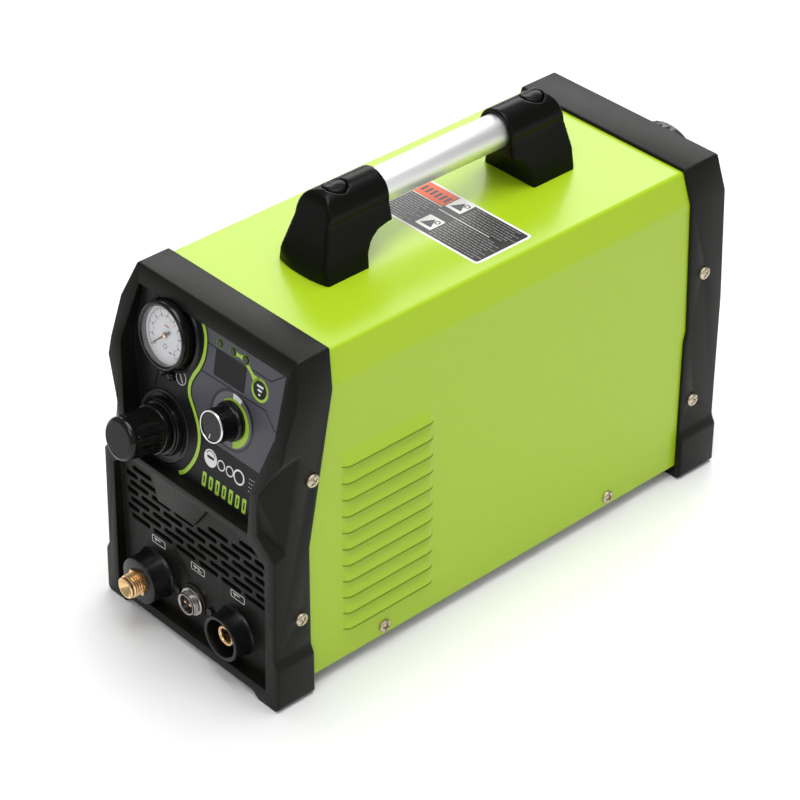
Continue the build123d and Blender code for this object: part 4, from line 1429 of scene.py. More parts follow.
# ------------------------------------------------------------------ screws
@dataclass
class Screws:
    """The cross-head screws of both bezels and of the cover.

    Args:
        shop: the workshop.
        radius: radius of the head.
        height: height of the head.
        cross: half length of the cross.
    """

    shop: Workshop
    radius: float = 4.3
    height: float = 2.5
    cross: float = 2.7

    def head(self, turn: float) -> bpy.types.Mesh:
        """One domed head with its cross pressed in, standing out along X.

        Args:
            turn: how far the cross is turned, in degrees.

        Returns:
            Its mesh.
        """
        work = bmesh.new()
        rings: list[list[bmesh.types.BMVert]] = []
        steps = [0.0, 0.3, 0.6, 0.9, 1.2, 1.6, 2.0, 2.4, 2.8, 3.2, 3.6, 3.95, 4.2, 4.3]
        segments = 72
        spin = math.radians(turn)
        for radius in steps:
            ring = []
            for step in range(segments):
                angle = 2 * math.pi * step / segments
                a, b = radius * math.cos(angle), radius * math.sin(angle)
                dome = self.height * (1 - 0.55 * (radius / self.radius) ** 4)
                if radius == steps[-1]:
                    dome *= 0.55
                p = a * math.cos(spin) + b * math.sin(spin)
                q = b * math.cos(spin) - a * math.sin(spin)
                width = 0.72 - 0.1 * radius / self.cross
                inside = radius < self.cross and min(abs(p), abs(q)) < width
                sink = 1.9 * (1 - 0.45 * radius / self.cross) if inside else 0.0
                ring.append(work.verts.new(Vector((dome - sink, a, b)) * MM))
            rings.append(ring)
        skirt = [work.verts.new(Vector((-0.2, v.co.y / MM, v.co.z / MM)) * MM) for v in rings[-1]]
        rings.append(skirt)
        for low, high in zip(rings, rings[1:]):
            for step in range(segments):
                after = (step + 1) % segments
                work.faces.new((low[step], low[after], high[after], high[step]))
        bmesh.ops.remove_doubles(work, verts=work.verts, dist=1e-6)
        return finished(work, "screw_head", 38.0)

    def build(self) -> None:
        """Adds every screw head in place of its node."""
        side_places = [(2.8, 152.0), (-7.4, 58.2), (324.5, 152.0), (321.7, 57.8)]
        cover_places = [(59.2, 15.6), (249.4, 15.6)]
        groups = {
            "bezel_screws": (77.5, side_places, 20.0),
            "cover_screws": (75.2, cover_places, 65.0),
        }
        for node, (x, places, turn) in groups.items():
            points = [Vector((side * x, FRONT_Y + y, z)) * MM for y, z in places for side in (1, -1)]
            values = {"Tilt": 0.8, "Seed": 11, "Finish": self.shop.material(Finish.ZINC)}
            mesh = repeated(node, mirrored_places_group(), self.head(turn), values, points)
            piece = self.shop.add(node + "_heads", mesh, Finish.ZINC)
            self.shop.stands_for(piece, node)
        log.info("screw heads placed")


# ------------------------------------------------------------------ printing
@dataclass
class PanelPrint:
    """Everything printed on the control panel's film.

    Args:
        shop: the workshop.
        height: height of the ink over the panel.
        dial: middle of the ring round the current knob.
        lamps: middles of the three lamps.
        drop: middle of the drop-shaped ring.
    """

    shop: Workshop
    height: float = 0.54
    dial: Point2 = (22.5, -10.5)
    lamps: tuple[Point2, ...] = ((5.7, 30.8), (16.9, 30.8), (28.2, 30.8))
    drop: Point2 = (42.2, 18.3)

    def stripe(self) -> list[Point2]:
        """Middle line of the curved lime stripe.

        Returns:
            Its points.
        """
        knots = [
            (-10.7, 37.0),
            (-7.3, 31.0),
            (-6.1, 24.0),
            (-6.6, 16.5),
            (-9.2, 8.6),
            (-13.0, 1.8),
            (-15.6, -5.5),
            (-14.6, -12.6),
            (-9.6, -19.5),
            (-4.9, -27.0),
            (-2.4, -35.5),
            (-3.2, -45.1),
            (-6.6, -53.6),
            (-11.6, -60.8),
            (-16.5, -64.3),
        ]
        return smooth_path(knots, 6)

    def ink(self, name: str, work: bmesh.types.BMesh, finish: Finish) -> None:
        """Adds one printed layer.

        Args:
            name: its name.
            work: its shapes.
            finish: its ink.
        """
        self.shop.add("print_" + name, printed(work, name, PANEL), finish)

    def fields(self) -> None:
        """The lighter field right of the stripe and its dark seams."""
        path = self.stripe()
        edge = [p for p in path if p[1] > -31.3]
        outline = edge + [(-3.0, -31.3), (56.2, -31.3), (66.9, 2.0), (63.4, 36.9), (-10.7, 36.9)]
        work = bmesh.new()
        add_flat(work, PANEL, outline, self.height)
        bmesh.ops.triangulate(work, faces=work.faces)
        self.ink("light_field", work, Finish.FILM_LIGHT)
        window = bmesh.new()
        add_flat(window, PANEL, rounded_box((16.4, 18.2), (26.9, 16.4), 0.8), self.height + 0.05)
        self.ink("display", window, Finish.FILM)
        seams = bmesh.new()
        lines = [
            [(-6.5, 27.0), (2.0, 26.6), (50.4, 27.7), (61.5, 36.5)],
            [(-9.5, 7.6), (3.0, 7.8), (48.7, 8.5), (57.7, -0.2), (64.6, -0.6)],
        ]
        for line in lines:
            add_flat(seams, PANEL, ribbon_outline(line, 0.8), self.height + 0.03)
        bmesh.ops.triangulate(seams, faces=seams.faces)
        self.ink("field_seams", seams, Finish.FILM)

    def lime(self) -> None:
        """The stripe, the links between the lamps and the drop-shaped ring."""
        shadow = bmesh.new()
        add_flat(shadow, PANEL, ribbon_outline(self.stripe(), 4.6), self.height + 0.04)
        bmesh.ops.triangulate(shadow, faces=shadow.faces)
        self.ink("stripe_border", shadow, Finish.FILM)
        work = bmesh.new()
        top = self.height + 0.08
        add_flat(work, PANEL, ribbon_outline(self.stripe(), 2.5), top)
        second, third = self.lamps[1], self.lamps[2]
        waist = ribbon_outline([second, third], 4.2)
        middle = ((second[0] + third[0]) / 2, second[1])
        above = (middle[0], middle[1] + 0.9)
        below = (middle[0], middle[1] - 0.9)
        add_flat(work, PANEL, [waist[0], above, waist[1], waist[2], below, waist[3]], top)
        tail = [(28.6, 27.6), (31.3, 29.0), (36.0, 25.2), (40.4, 25.2), (47.3, 23.2)]
        tail += [(49.4, 18.3), (35.0, 18.3), (35.5, 21.6), (33.6, 24.2)]
        add_flat(work, PANEL, tail, top)
        add_flat_ring(work, PANEL, self.drop, (4.4, 7.2), top)
        bmesh.ops.triangulate(work, faces=[f for f in work.faces if len(f.verts) > 4])
        self.ink("lime", work, Finish.LIME)
        rings = bmesh.new()
        for lamp in self.lamps:
            add_flat_ring(rings, PANEL, lamp, (2.6, 3.1), top + 0.03)
        self.ink("lamp_rings", rings, Finish.SHADE)
        dark = bmesh.new()
        for lamp in self.lamps:
            add_flat_ring(dark, PANEL, lamp, (2.15, 2.65), top + 0.05)
        add_flat(dark, PANEL, circle_points(self.drop, 5.5), top + 0.05)
        self.ink("drop_middle", dark, Finish.FILM)
        mark = bmesh.new()
        for u, v, w, h in ((42.2, 20.6, 5.6, 1.3), (42.2, 18.0, 3.6, 1.3), (42.2, 15.4, 1.6, 1.3)):
            add_flat(mark, PANEL, rounded_box((u, v), (w, h), 0.3, 3), top + 0.08)
        self.ink("drop_mark", mark, Finish.WHITE)

    def dial_ring(self) -> None:
        """The printed ring round the current knob."""
        base = bmesh.new()
        add_flat(base, PANEL, circle_points(self.dial, 18.9, 72), self.height + 0.05)
        self.ink("dial_border", base, Finish.DARK)
        grey = bmesh.new()
        add_flat_ring(grey, PANEL, self.dial, (12.2, 17.0), self.height + 0.1)
        self.ink("dial_grey", grey, Finish.DIAL_GREY)
        white = bmesh.new()
        add_flat_ring(white, PANEL, self.dial, (13.0, 17.0), self.height + 0.13, 66.0, 28.0)
        self.ink("dial_start", white, Finish.WHITE)
        green = bmesh.new()
        count = 60
        inner = circle_points(self.dial, 12.0, count, 132.0, -196.0)
        outer = []
        for i, angle in enumerate([132.0 - 196.0 * k / (count - 1) for k in range(count)]):
            radius = 12.6 + 3.6 * (i / (count - 1)) ** 0.9
            outer.append(circle_points(self.dial, radius, 2, angle, 1.0)[0])
        for i in range(count - 1):
            quad = [inner[i], inner[i + 1], outer[i + 1], outer[i]]
            add_flat(green, PANEL, quad, self.height + 0.16)
        add_flat_ring(green, PANEL, self.dial, (12.0, 16.4), self.height + 0.18, -64.0, -14.0)
        self.ink("dial_green", green, Finish.LIME)

    def small_marks(self) -> None:
        """Small generic marks under the knobs, and the row of lime blocks."""
        top = self.height + 0.05
        white = bmesh.new()
        add_flat(white, PANEL, circle_points((8.8, -42.0), 5.6), top)
        add_flat_ring(white, PANEL, (33.9, -42.0), (3.7, 4.8), top)
        for u in (18.2, 25.8):
            add_flat_ring(white, PANEL, (u, -42.2), (2.6, 3.4), top)
        add_flat_ring(white, PANEL, (-23.6, -5.1), (4.1, 4.5), top)
        add_flat(white, PANEL, ribbon_outline([(-25.4, -2.4), (-21.8, -7.8)], 0.6), top)
        for row in range(4):
            for column in range(3):
                speck = (43.0 + 1.7 * column, -38.5 - 2.6 * row)
                add_flat(white, PANEL, rounded_box(speck, (0.8, 0.4), 0.1, 2), top)
        self.ink("small_marks", white, Finish.WHITE)
        dark = bmesh.new()
        add_flat(dark, PANEL, rounded_box((8.8, -41.6), (6.2, 1.7), 0.8, 4), top + 0.04)
        add_flat_ring(dark, PANEL, (8.8, -41.4), (3.6, 4.1), top + 0.04, 20.0, 140.0)
        self.ink("mark_detail", dark, Finish.FILM)
        lime = bmesh.new()
        for index in range(7):
            u = 5.4 + 5.9 * index
            tall = 9.4 - 0.9 * (index % 2)
            add_flat(lime, PANEL, rounded_box((u, -57.4), (3.5, tall), 0.9, 4), top)
        self.ink("lime_blocks", lime, Finish.LIME)
        black = bmesh.new()
        for index in range(7):
            add_flat(black, PANEL, rounded_box((5.4 + 5.9 * index, -57.4), (1.1, 5.0), 0.5, 4), top + 0.04)
        self.ink("lime_block_cores", black, Finish.FILM)

    def build(self) -> None:
        """Adds every printed layer."""
        self.fields()
        self.lime()
        self.dial_ring()
        self.small_marks()
        log.info("control panel printed")


@dataclass
class TopLabel:
    """The generic notice under the handle: a red strip, two plain squares and rows of dashes.

    Args:
        shop: the workshop.
        low: its lower left corner, as (across, distance back).
        size: its width and depth.
    """

    shop: Workshop
    low: Point2 = (-27.0, 144.3)
    size: Point2 = (87.5, 45.6)

    def dashes(
        self, work: bmesh.types.BMesh, box: tuple[float, float, float, float], rows: int, seed: int
    ) -> None:
        """Rows of short dashes of changing length.

        Args:
            work: the work mesh.
            box: left, front, right and back of the rows.
            rows: how many rows.
            seed: changes the pattern.
        """
        left, front, right, back = box
        pitch = (back - front) / rows
        for row in range(rows):
            y = back - (row + 0.5) * pitch
            x = left
            step = seed + row * 7
            limit = right - (step % 5) * 1.6
            while x < limit - 1.0:
                step += 3
                length = 1.2 + (step * 37 % 11) * 0.32
                end = min(x + length, limit)
                low, high = y - 0.28, y + 0.28
                add_flat(work, COVER_TOP, [(x, low), (end, low), (end, high), (x, high)], 0.22)
                x = end + 0.65

    def build(self) -> None:
        """Adds the sheet, its fields and its marks."""
        middle = (self.low[0] + self.size[0] / 2, self.low[1] + self.size[1] / 2)
        sheet = bmesh.new()
        add_prism(sheet, COVER_TOP, rounded_box(middle, self.size, 3.0), 0.0, 0.12)
        self.shop.add("label_sheet", finished(sheet, "label_sheet"), Finish.WHITE)
        black = bmesh.new()
        inner = (self.size[0] - 3.4, self.size[1] - 3.4)
        add_flat(black, COVER_TOP, rounded_box(middle, inner, 1.6), 0.15)
        self.shop.add("label_field", printed(black, "label_field", COVER_TOP), Finish.DARK)
        red = bmesh.new()
        add_flat(red, COVER_TOP, [(-25.2, 174.0), (0.0, 174.0), (0.0, 188.1), (-25.2, 188.1)], 0.18)
        self.shop.add("label_strip", printed(red, "label_strip", COVER_TOP), Finish.ORANGE)
        blocks = bmesh.new()
        for index in range(6):
            x = -22.6 + 4.0 * index
            add_flat(blocks, COVER_TOP, rounded_box((x, 181.0), (2.2, 6.4), 0.4, 3), 0.21)
        self.shop.add("label_strip_blocks", printed(blocks, "label_strip_blocks", COVER_TOP), Finish.DARK)
        white = bmesh.new()
        for x, y in ((7.3, 181.8), (8.6, 156.4)):
            add_flat(white, COVER_TOP, rounded_box((x, y), (13.0, 12.8), 0.5, 3), 0.18)
        add_flat(white, COVER_TOP, [(1.0, 170.0), (44.0, 170.0), (44.0, 170.6), (1.0, 170.6)], 0.2)
        add_flat(white, COVER_TOP, [(-25.0, 173.0), (0.6, 173.0), (0.6, 173.6), (-25.0, 173.6)], 0.2)
        self.shop.add("label_squares", printed(white, "label_squares", COVER_TOP), Finish.WHITE)
        signs = bmesh.new()
        for x, y in ((7.3, 181.8), (8.6, 156.4)):
            add_flat(signs, COVER_TOP, [(x - 4.6, y - 4.0), (x + 4.6, y - 4.0), (x, y + 4.4)], 0.21)
            add_flat_ring(signs, COVER_TOP, (x + 3.4, y + 2.6), (1.1, 2.0), 0.21)
        self.shop.add("label_signs", printed(signs, "label_signs", COVER_TOP), Finish.DARK)
        text = bmesh.new()
        self.dashes(text, (-25.0, 146.5, 0.4, 172.0), 12, 1)
        self.dashes(text, (16.5, 147.0, 58.0, 169.0), 10, 4)
        self.dashes(text, (16.5, 171.5, 58.0, 187.5), 7, 2)
        self.shop.add("label_dashes", printed(text, "label_dashes", COVER_TOP), Finish.GREY)
        log.info("top label added")


@dataclass
class ConnectorMarks:
    """Outlined plain signs over the three connectors.

    Args:
        shop: the workshop.
        places: the middle of each sign on the connector panel.
        size: width and height of a sign.
    """

    shop: Workshop
    places: tuple[Point2, ...] = ((-36.0, -3.4), (0.8, -3.0), (37.2, -2.1))
    size: Point2 = (12.4, 5.4)

    def build(self) -> None:
        """Adds the outlines and a bar or two inside each."""
        work = bmesh.new()
        for index, (u, v) in enumerate(self.places):
            outer = rounded_box((u, v), self.size, 0.8, 4)
            inner = rounded_box((u, v), (self.size[0] - 0.8, self.size[1] - 0.8), 0.6, 4)
            low = [work.verts.new(LOWER.point(a, b, 0.05)) for a, b in inner]
            high = [work.verts.new(LOWER.point(a, b, 0.05)) for a, b in outer]
            for i in range(len(low)):
                j = (i + 1) % len(low)
                work.faces.new((low[i], low[j], high[j], high[i]))
            bars = [(u - 1.2, v + 0.7, 6.0, 0.6), (u + 1.6, v - 0.7, 3.6, 0.6)][: 1 + index % 2]
            bars.append((u - 2.6, v - 0.3, 0.6, 1.8))
            for a, b, w, h in bars:
                add_flat(work, LOWER, rounded_box((a, b), (w, h), 0.15, 2), 0.05)
        self.shop.add("connector_marks", printed(work, "connector_marks", LOWER), Finish.WHITE)


# ------------------------------------------------------------------ gauge
@dataclass
class Gauge:
    """The round pressure gauge: rim, window, dial and scale.

    Args:
        shop: the workshop.
        centre: its middle on the control panel.
        radius: outer radius of its rim; not used.
        front: height of its window.
    """

    shop: Workshop
    centre: Point2 = (-35.0, 18.5)
    radius: float = 21.2
    front: float = 9.6

    def rim(self) -> None:
        """The dark rim and the clear window in it."""
        top = self.front
        profile = [
            (17.9, 5.6),
            (17.9, top - 0.9),
            (18.5, top - 0.2),
            (19.3, top),
            (20.2, top - 0.3),
            (20.7, top - 1.0),
            (20.9, top - 2.2),
            (20.9, 1.6),
            (20.6, 0.9),
            (17.6, 0.9),
            (17.9, 5.6),
        ]
        place = (PANEL, self.centre)
        finish = Finish.GLOSS_BLACK
        self.shop.turned("gauge_rim", place, profile, finish, segments=96, angle=40.0, node="gauge_lens")
        glass = [(0.0, top - 0.3), (9.0, top - 0.42), (17.8, top - 0.8)]
        glass += [(17.8, top - 1.7), (0.0, top - 1.7)]
        self.shop.turned("gauge_window", place, glass, Finish.CLEAR, angle=40.0)

    def scale(self) -> None:
        """Ticks, arcs and small plain marks on the dial."""
        height = 5.44
        black = bmesh.new()
        red = bmesh.new()
        for index in range(51):
            angle = 225.0 - 270.0 * index / 50
            major = index % 5 == 0
            length = 2.0 if major else 1.1
            width = 0.42 if major else 0.2
            ends = []
            for radius in (15.6, 15.6 - length):
                ends.append(circle_points(self.centre, radius, 2, angle, 1.0)[0])
            add_flat(black, PANEL, ribbon_outline(ends, width), height)
            if index % 4 == 0:
                ends = [circle_points(self.centre, r, 2, angle, 1.0)[0] for r in (11.4, 10.0)]
                add_flat(red, PANEL, ribbon_outline(ends, 0.4), height)
            if major:
                spot = circle_points(self.centre, 12.4, 2, angle, 1.0)[0]
                add_flat(black, PANEL, rounded_box(spot, (1.0, 1.5), 0.3, 3), height)
        add_flat_ring(black, PANEL, self.centre, (15.6, 15.9), height, -45.0, 270.0)
        add_flat_ring(red, PANEL, self.centre, (11.4, 11.6), height, -45.0, 270.0)
        low = (self.centre[0] + 0.5, self.centre[1] - 7.0)
        add_flat_ring(black, PANEL, low, (1.1, 1.6), height)
        add_flat(black, PANEL, rounded_box((low[0] + 5.0, low[1] - 2.2), (2.6, 0.9), 0.3, 3), height)
        add_flat(red, PANEL, rounded_box((self.centre[0], self.centre[1] + 5.6), (4.2, 1.0), 0.3, 3), height)
        self.shop.add("gauge_scale", printed(black, "gauge_scale", PANEL), Finish.SCALE_GREY)
        self.shop.add("gauge_scale_red", printed(red, "gauge_scale_red", PANEL), Finish.SCALE_RED)
        hub = [(0.0, 7.4), (0.9, 7.3), (1.5, 6.9), (1.5, 6.4), (0.0, 6.4)]
        place = (PANEL, self.centre)
        self.shop.turned("gauge_hub", place, hub, Finish.BRASS, "needle", segments=32, angle=32.0)

    def lumps(self) -> None:
        """The two small moulded clamps under the gauge, and the lip round it."""
        work = bmesh.new()
        for u, radius in ((-38.6, 2.6), (-31.4, 2.9)):
            profile = [(0.0, 3.6), (1.4, 3.5), (radius - 0.6, 3.0), (radius, 2.0)]
            profile += [(radius, 0.3), (radius + 0.6, 0.1), (0.0, 0.1)]
            add_lathe(work, PANEL, (u, -7.4), profile, 28)
        piece = self.shop.add("gauge_clamps", finished(work, "gauge_clamps", 50.0), Finish.GLOSS_BLACK)
        self.shop.stands_for(piece, "gauge_clamp_screws")
        lip = [(21.3, 0.4), (22.3, 1.6), (23.2, 1.4), (23.9, 0.4)]
        self.shop.turned("gauge_lip", (PANEL, self.centre), lip, Finish.SOCKET, angle=60.0)

    def build(self) -> None:
        """Adds the gauge."""
        self.rim()
        self.scale()
        self.lumps()
        log.info("gauge added")


# ------------------------------------------------------------------ knobs
@dataclass
class RegulatorKnob:
    """The ribbed pull-up knob of the pressure regulator and the rings behind it.

    Args:
        shop: the workshop.
        centre: its middle on the control panel.
        front: height of its front.
        ribs: how many ribs it has.
    """

    shop: Workshop
    centre: Point2 = (-34.5, -42.0)
    front: float = 34.0
    ribs: int = 26

    def body(self) -> None:
        """The turned body."""
        top = self.front
        profile = [
            (0.0, top - 0.3),
            (10.6, top - 0.35),
            (10.9, top),
            (11.7, top - 0.15),
            (12.6, top - 0.8),
            (13.2, top - 1.8),
            (13.45, top - 3.2),
            (13.2, top - 4.2),
            (12.8, top - 4.8),
            (12.8, 26.0),
            (13.6, 10.4),
            (14.9, 9.9),
            (15.2, 9.2),
            (15.2, 6.9),
            (14.8, 6.3),
            (12.6, 6.3),
            (12.6, 9.8),
            (0.0, 9.8),
        ]
        place = (PANEL, self.centre)
        name, finish = "regulator_knob_body", Finish.GLOSS_BLACK
        self.shop.turned(name, place, profile, finish, "regulator_cap", segments=96, node="regulator_knob")
        cap = [(0.0, top - 0.10), (10.4, top - 0.2), (10.5, top - 0.6), (0.0, top - 0.6)]
        self.shop.turned("regulator_knob_cap", place, cap, Finish.CAP, "regulator_cap")

    def rib_ring(self) -> None:
        """The ribs round the body, made once and repeated."""
        rib = bmesh.new()
        stations = [(10.6, 0.9), (12.5, 0.75), (25.0, 0.0), (28.2, -0.15), (29.4, -0.6)]
        section = [(-0.9, -0.62), (0.2, -0.45), (0.5, 0.0), (0.2, 0.45), (-0.9, 0.62)]
        rows = []
        for height, lean in stations:
            rows.append([rib.verts.new(Vector((lean + d, s, height)) * MM) for d, s in section])
        for low, high in zip(rows, rows[1:]):
            for i in range(len(section) - 1):
                rib.faces.new((low[i], low[i + 1], high[i + 1], high[i]))
        rib.faces.new(rows[0][::-1])
        rib.faces.new(rows[-1])
        piece = finished(rib, "knob_rib", 50.0)
        values = {"Count": self.ribs, "Radius": 12.85 * MM, "Finish": self.shop.material(Finish.GLOSS_BLACK)}
        mesh = repeated("knob_ribs", ring_places_group(), piece, values, [])
        mesh.transform(plane_matrix(PANEL, self.centre))
        self.shop.add("regulator_knob_ribs", mesh, Finish.GLOSS_BLACK, "regulator_cap")

    def rings(self) -> None:
        """The nut and the moulded dish behind the knob."""
        place = (PANEL, self.centre)
        nut = [(12.2, 0.1), (12.2, 5.2), (15.6, 5.2), (16.4, 4.7), (16.6, 3.4)]
        nut += [(17.2, 3.1), (17.5, 2.4), (17.5, 0.1), (12.2, 0.1)]
        self.shop.turned("regulator_nut", place, nut, Finish.GLOSS_BLACK, node="regulator_ring")
        dish = [(18.2, 0.12), (19.8, 0.2), (20.9, 0.62), (21.6, 0.95), (22.3, 0.95), (22.9, 0.45)]
        self.shop.turned("regulator_dish", place, dish, Finish.SOCKET, angle=60.0)

    def build(self) -> None:
        """Adds the knob and its rings."""
        self.body()
        self.rib_ring()
        self.rings()
        log.info("regulator knob with %d ribs", self.ribs)


@dataclass
class CurrentKnob:
    """The small fluted knob that sets the current.

    Args:
        shop: the workshop.
        centre: its middle on the control panel.
        front: height of its front.
        pointer: direction of the pointer, in degrees.
    """

    shop: Workshop
    centre: Point2 = (22.5, -10.5)
    front: float = 16.0
    pointer: float = 262.0

    def build(self) -> None:
        """Adds the body, flutes, bright ring and pointer."""
        top = self.front
        place = (PANEL, self.centre)
        profile = [
            (0.0, top - 0.7),
            (8.5, top - 0.7),
            (8.8, top - 0.2),
            (9.7, top - 0.2),
            (9.9, top - 0.8),
            (10.4, 5.2),
            (10.9, 4.2),
            (11.8, 3.6),
            (12.0, 2.8),
            (12.0, 1.0),
            (6.6, 1.0),
            (6.6, 3.6),
            (0.0, 3.6),
        ]
        name, finish = "current_knob_body", Finish.GLOSS_BLACK
        self.shop.turned(name, place, profile, finish, "current_dial", node="current_knob")
        flute = bmesh.new()
        add_prism(flute, FLAT, [(-0.5, -0.42), (0.22, -0.24), (0.22, 0.24), (-0.5, 0.42)], 5.4, top - 1.6)
        values = {"Count": 30, "Radius": 10.05 * MM, "Finish": self.shop.material(finish)}
        mesh = repeated("knob_flutes", ring_places_group(), finished(flute, "flute"), values, [])
        mesh.transform(plane_matrix(PANEL, self.centre))
        self.shop.add("current_knob_flutes", mesh, finish, "current_dial")
        ring = [(8.7, top - 0.5), (8.9, top), (9.6, top), (9.9, top - 0.5), (8.7, top - 0.5)]
        name, finish = "current_knob_bright_ring", Finish.RING
        self.shop.turned(name, place, ring, finish, "current_dial", angle=50.0, node="current_knob_ring")
        line = bmesh.new()
        ends = [circle_points(self.centre, r, 2, self.pointer, 1.0)[0] for r in (5.0, 8.2)]
        add_flat(line, PANEL, ribbon_outline(ends, 0.7), top - 0.62)
        self.shop.add("current_knob_pointer", printed(line, "pointer", PANEL), Finish.WHITE, "current_dial")
        log.info("current knob added")


# ------------------------------------------------------------------ connectors
@dataclass
class Connectors:
    """Torch stub, trigger socket and earth socket.

    Args:
        shop: the workshop.
        torch: middle of the torch boss on the connector panel.
        signal: middle of the trigger socket.
        earth: middle of the earth socket.
    """

    shop: Workshop
    torch: Point2 = (-40.0, -28.6)
    signal: Point2 = (-3.8, -28.6)
    earth: Point2 = (34.5, -28.6)

    def thread(self, radius: float, low: float, high: float, pitch: float, depth: float) -> list[Point2]:
        """Profile of a threaded length as rings.

        Args:
            radius: crest radius.
            low: start height.
            high: end height.
            pitch: distance between crests.
            depth: depth of a groove.

        Returns:
            The (radius, height) points.
        """
        points = []
        count = int((high - low) / pitch)
        for index in range(count):
            start = low + index * pitch
            points.append((radius - depth, start))
            points += [(radius, start + share * pitch) for share in (0.35, 0.6)]
        points.append((radius - depth, low + count * pitch))
        return points

    def torch_stub(self) -> None:
        """The black boss, the threaded brass stub and a dark disc of painted shade in its bore."""
        place = (LOWER, self.torch)
        boss = [(7.0, 13.0), (7.6, 13.8), (14.4, 13.8), (15.0, 13.4), (15.2, 12.6)]
        boss += [(15.4, 2.2), (16.4, 0.6), (16.8, 0.05), (7.0, 0.05), (7.0, 13.0)]
        self.shop.turned("torch_boss_body", place, boss, Finish.SOCKET, segments=96, node="torch_boss")
        stub = bmesh.new()
        profile = [(0.7, 14.0), (0.7, 19.4), (1.4, 19.8), (5.8, 23.9), (6.3, 24.0), (6.9, 23.5)]
        profile += self.thread(7.4, 15.4, 23.4, 1.6, 0.85)[::-1]
        profile += [(6.6, 15.2), (6.6, 14.0), (0.7, 14.0)]
        add_lathe(stub, LOWER, self.torch, profile, 72)
        add_prism(stub, LOWER, circle_points(self.torch, 8.9, 6, 12.0), 13.7, 15.4)
        piece = self.shop.add("torch_stub", finished(stub, "torch_stub", 30.0), Finish.BRASS)
        self.shop.stands_for(piece, "torch_fitting")
        # A dark disc inside the stub's bore: painted shade.
        bore_shade = bmesh.new()
        add_flat(bore_shade, LOWER, circle_points(self.torch, 0.9, 24), 19.3)
        self.shop.add("torch_stub_bore", printed(bore_shade, "torch_stub_bore", LOWER), Finish.DARK)

    def trigger_socket(self) -> None:
        """The bright threaded shell."""
        profile = [(5.8, 1.2), (5.8, 6.4), (6.3, 6.9), (7.0, 6.9)]
        profile += self.thread(7.5, 3.0, 6.6, 0.75, 0.35)[::-1]
        profile += [(7.4, 2.9), (8.9, 2.9), (9.5, 2.4), (9.6, 1.2), (5.8, 1.2)]
        place = (LOWER, self.signal)
        self.shop.turned("trigger_shell", place, profile, Finish.CHROME, angle=30.0, node="signal_shell")

    def earth_socket(self) -> None:
        """The black collar, the brass contact and a dark block of painted shade standing for the key slot
        cut in the contact.
        """
        place = (LOWER, self.earth)
        collar = [(12.2, 1.5), (12.2, 11.9), (12.7, 12.4), (14.2, 12.4), (14.7, 11.9), (14.8, 11.0)]
        collar += [(15.0, 2.0), (15.8, 0.5), (16.1, 0.05), (6.9, 0.05), (6.9, 1.5), (12.2, 1.5)]
        self.shop.turned("earth_collar", place, collar, Finish.SOCKET, segments=96, node="earth_body")
        brass = [(4.6, -14.0), (4.6, 7.5), (5.1, 8.1), (6.3, 8.2), (6.9, 7.7), (6.9, -14.0), (4.6, -14.0)]
        self.shop.turned("earth_brass", place, brass, Finish.BRASS, segments=64, node="earth_contact")
        # A dark block sunk in the contact where its key slot is: painted shade.
        key = bmesh.new()
        slot = rounded_box((self.earth[0], self.earth[1] + 5.4), (2.2, 2.2), 0.3, 3)
        add_prism(key, LOWER, slot, -13.0, 7.3)
        self.shop.add("earth_key_slot", finished(key, "earth_key_slot"), Finish.DARK)

    def build(self) -> None:
        """Adds the three connectors."""
        self.torch_stub()
        self.trigger_socket()
        self.earth_socket()
        log.info("connectors added")


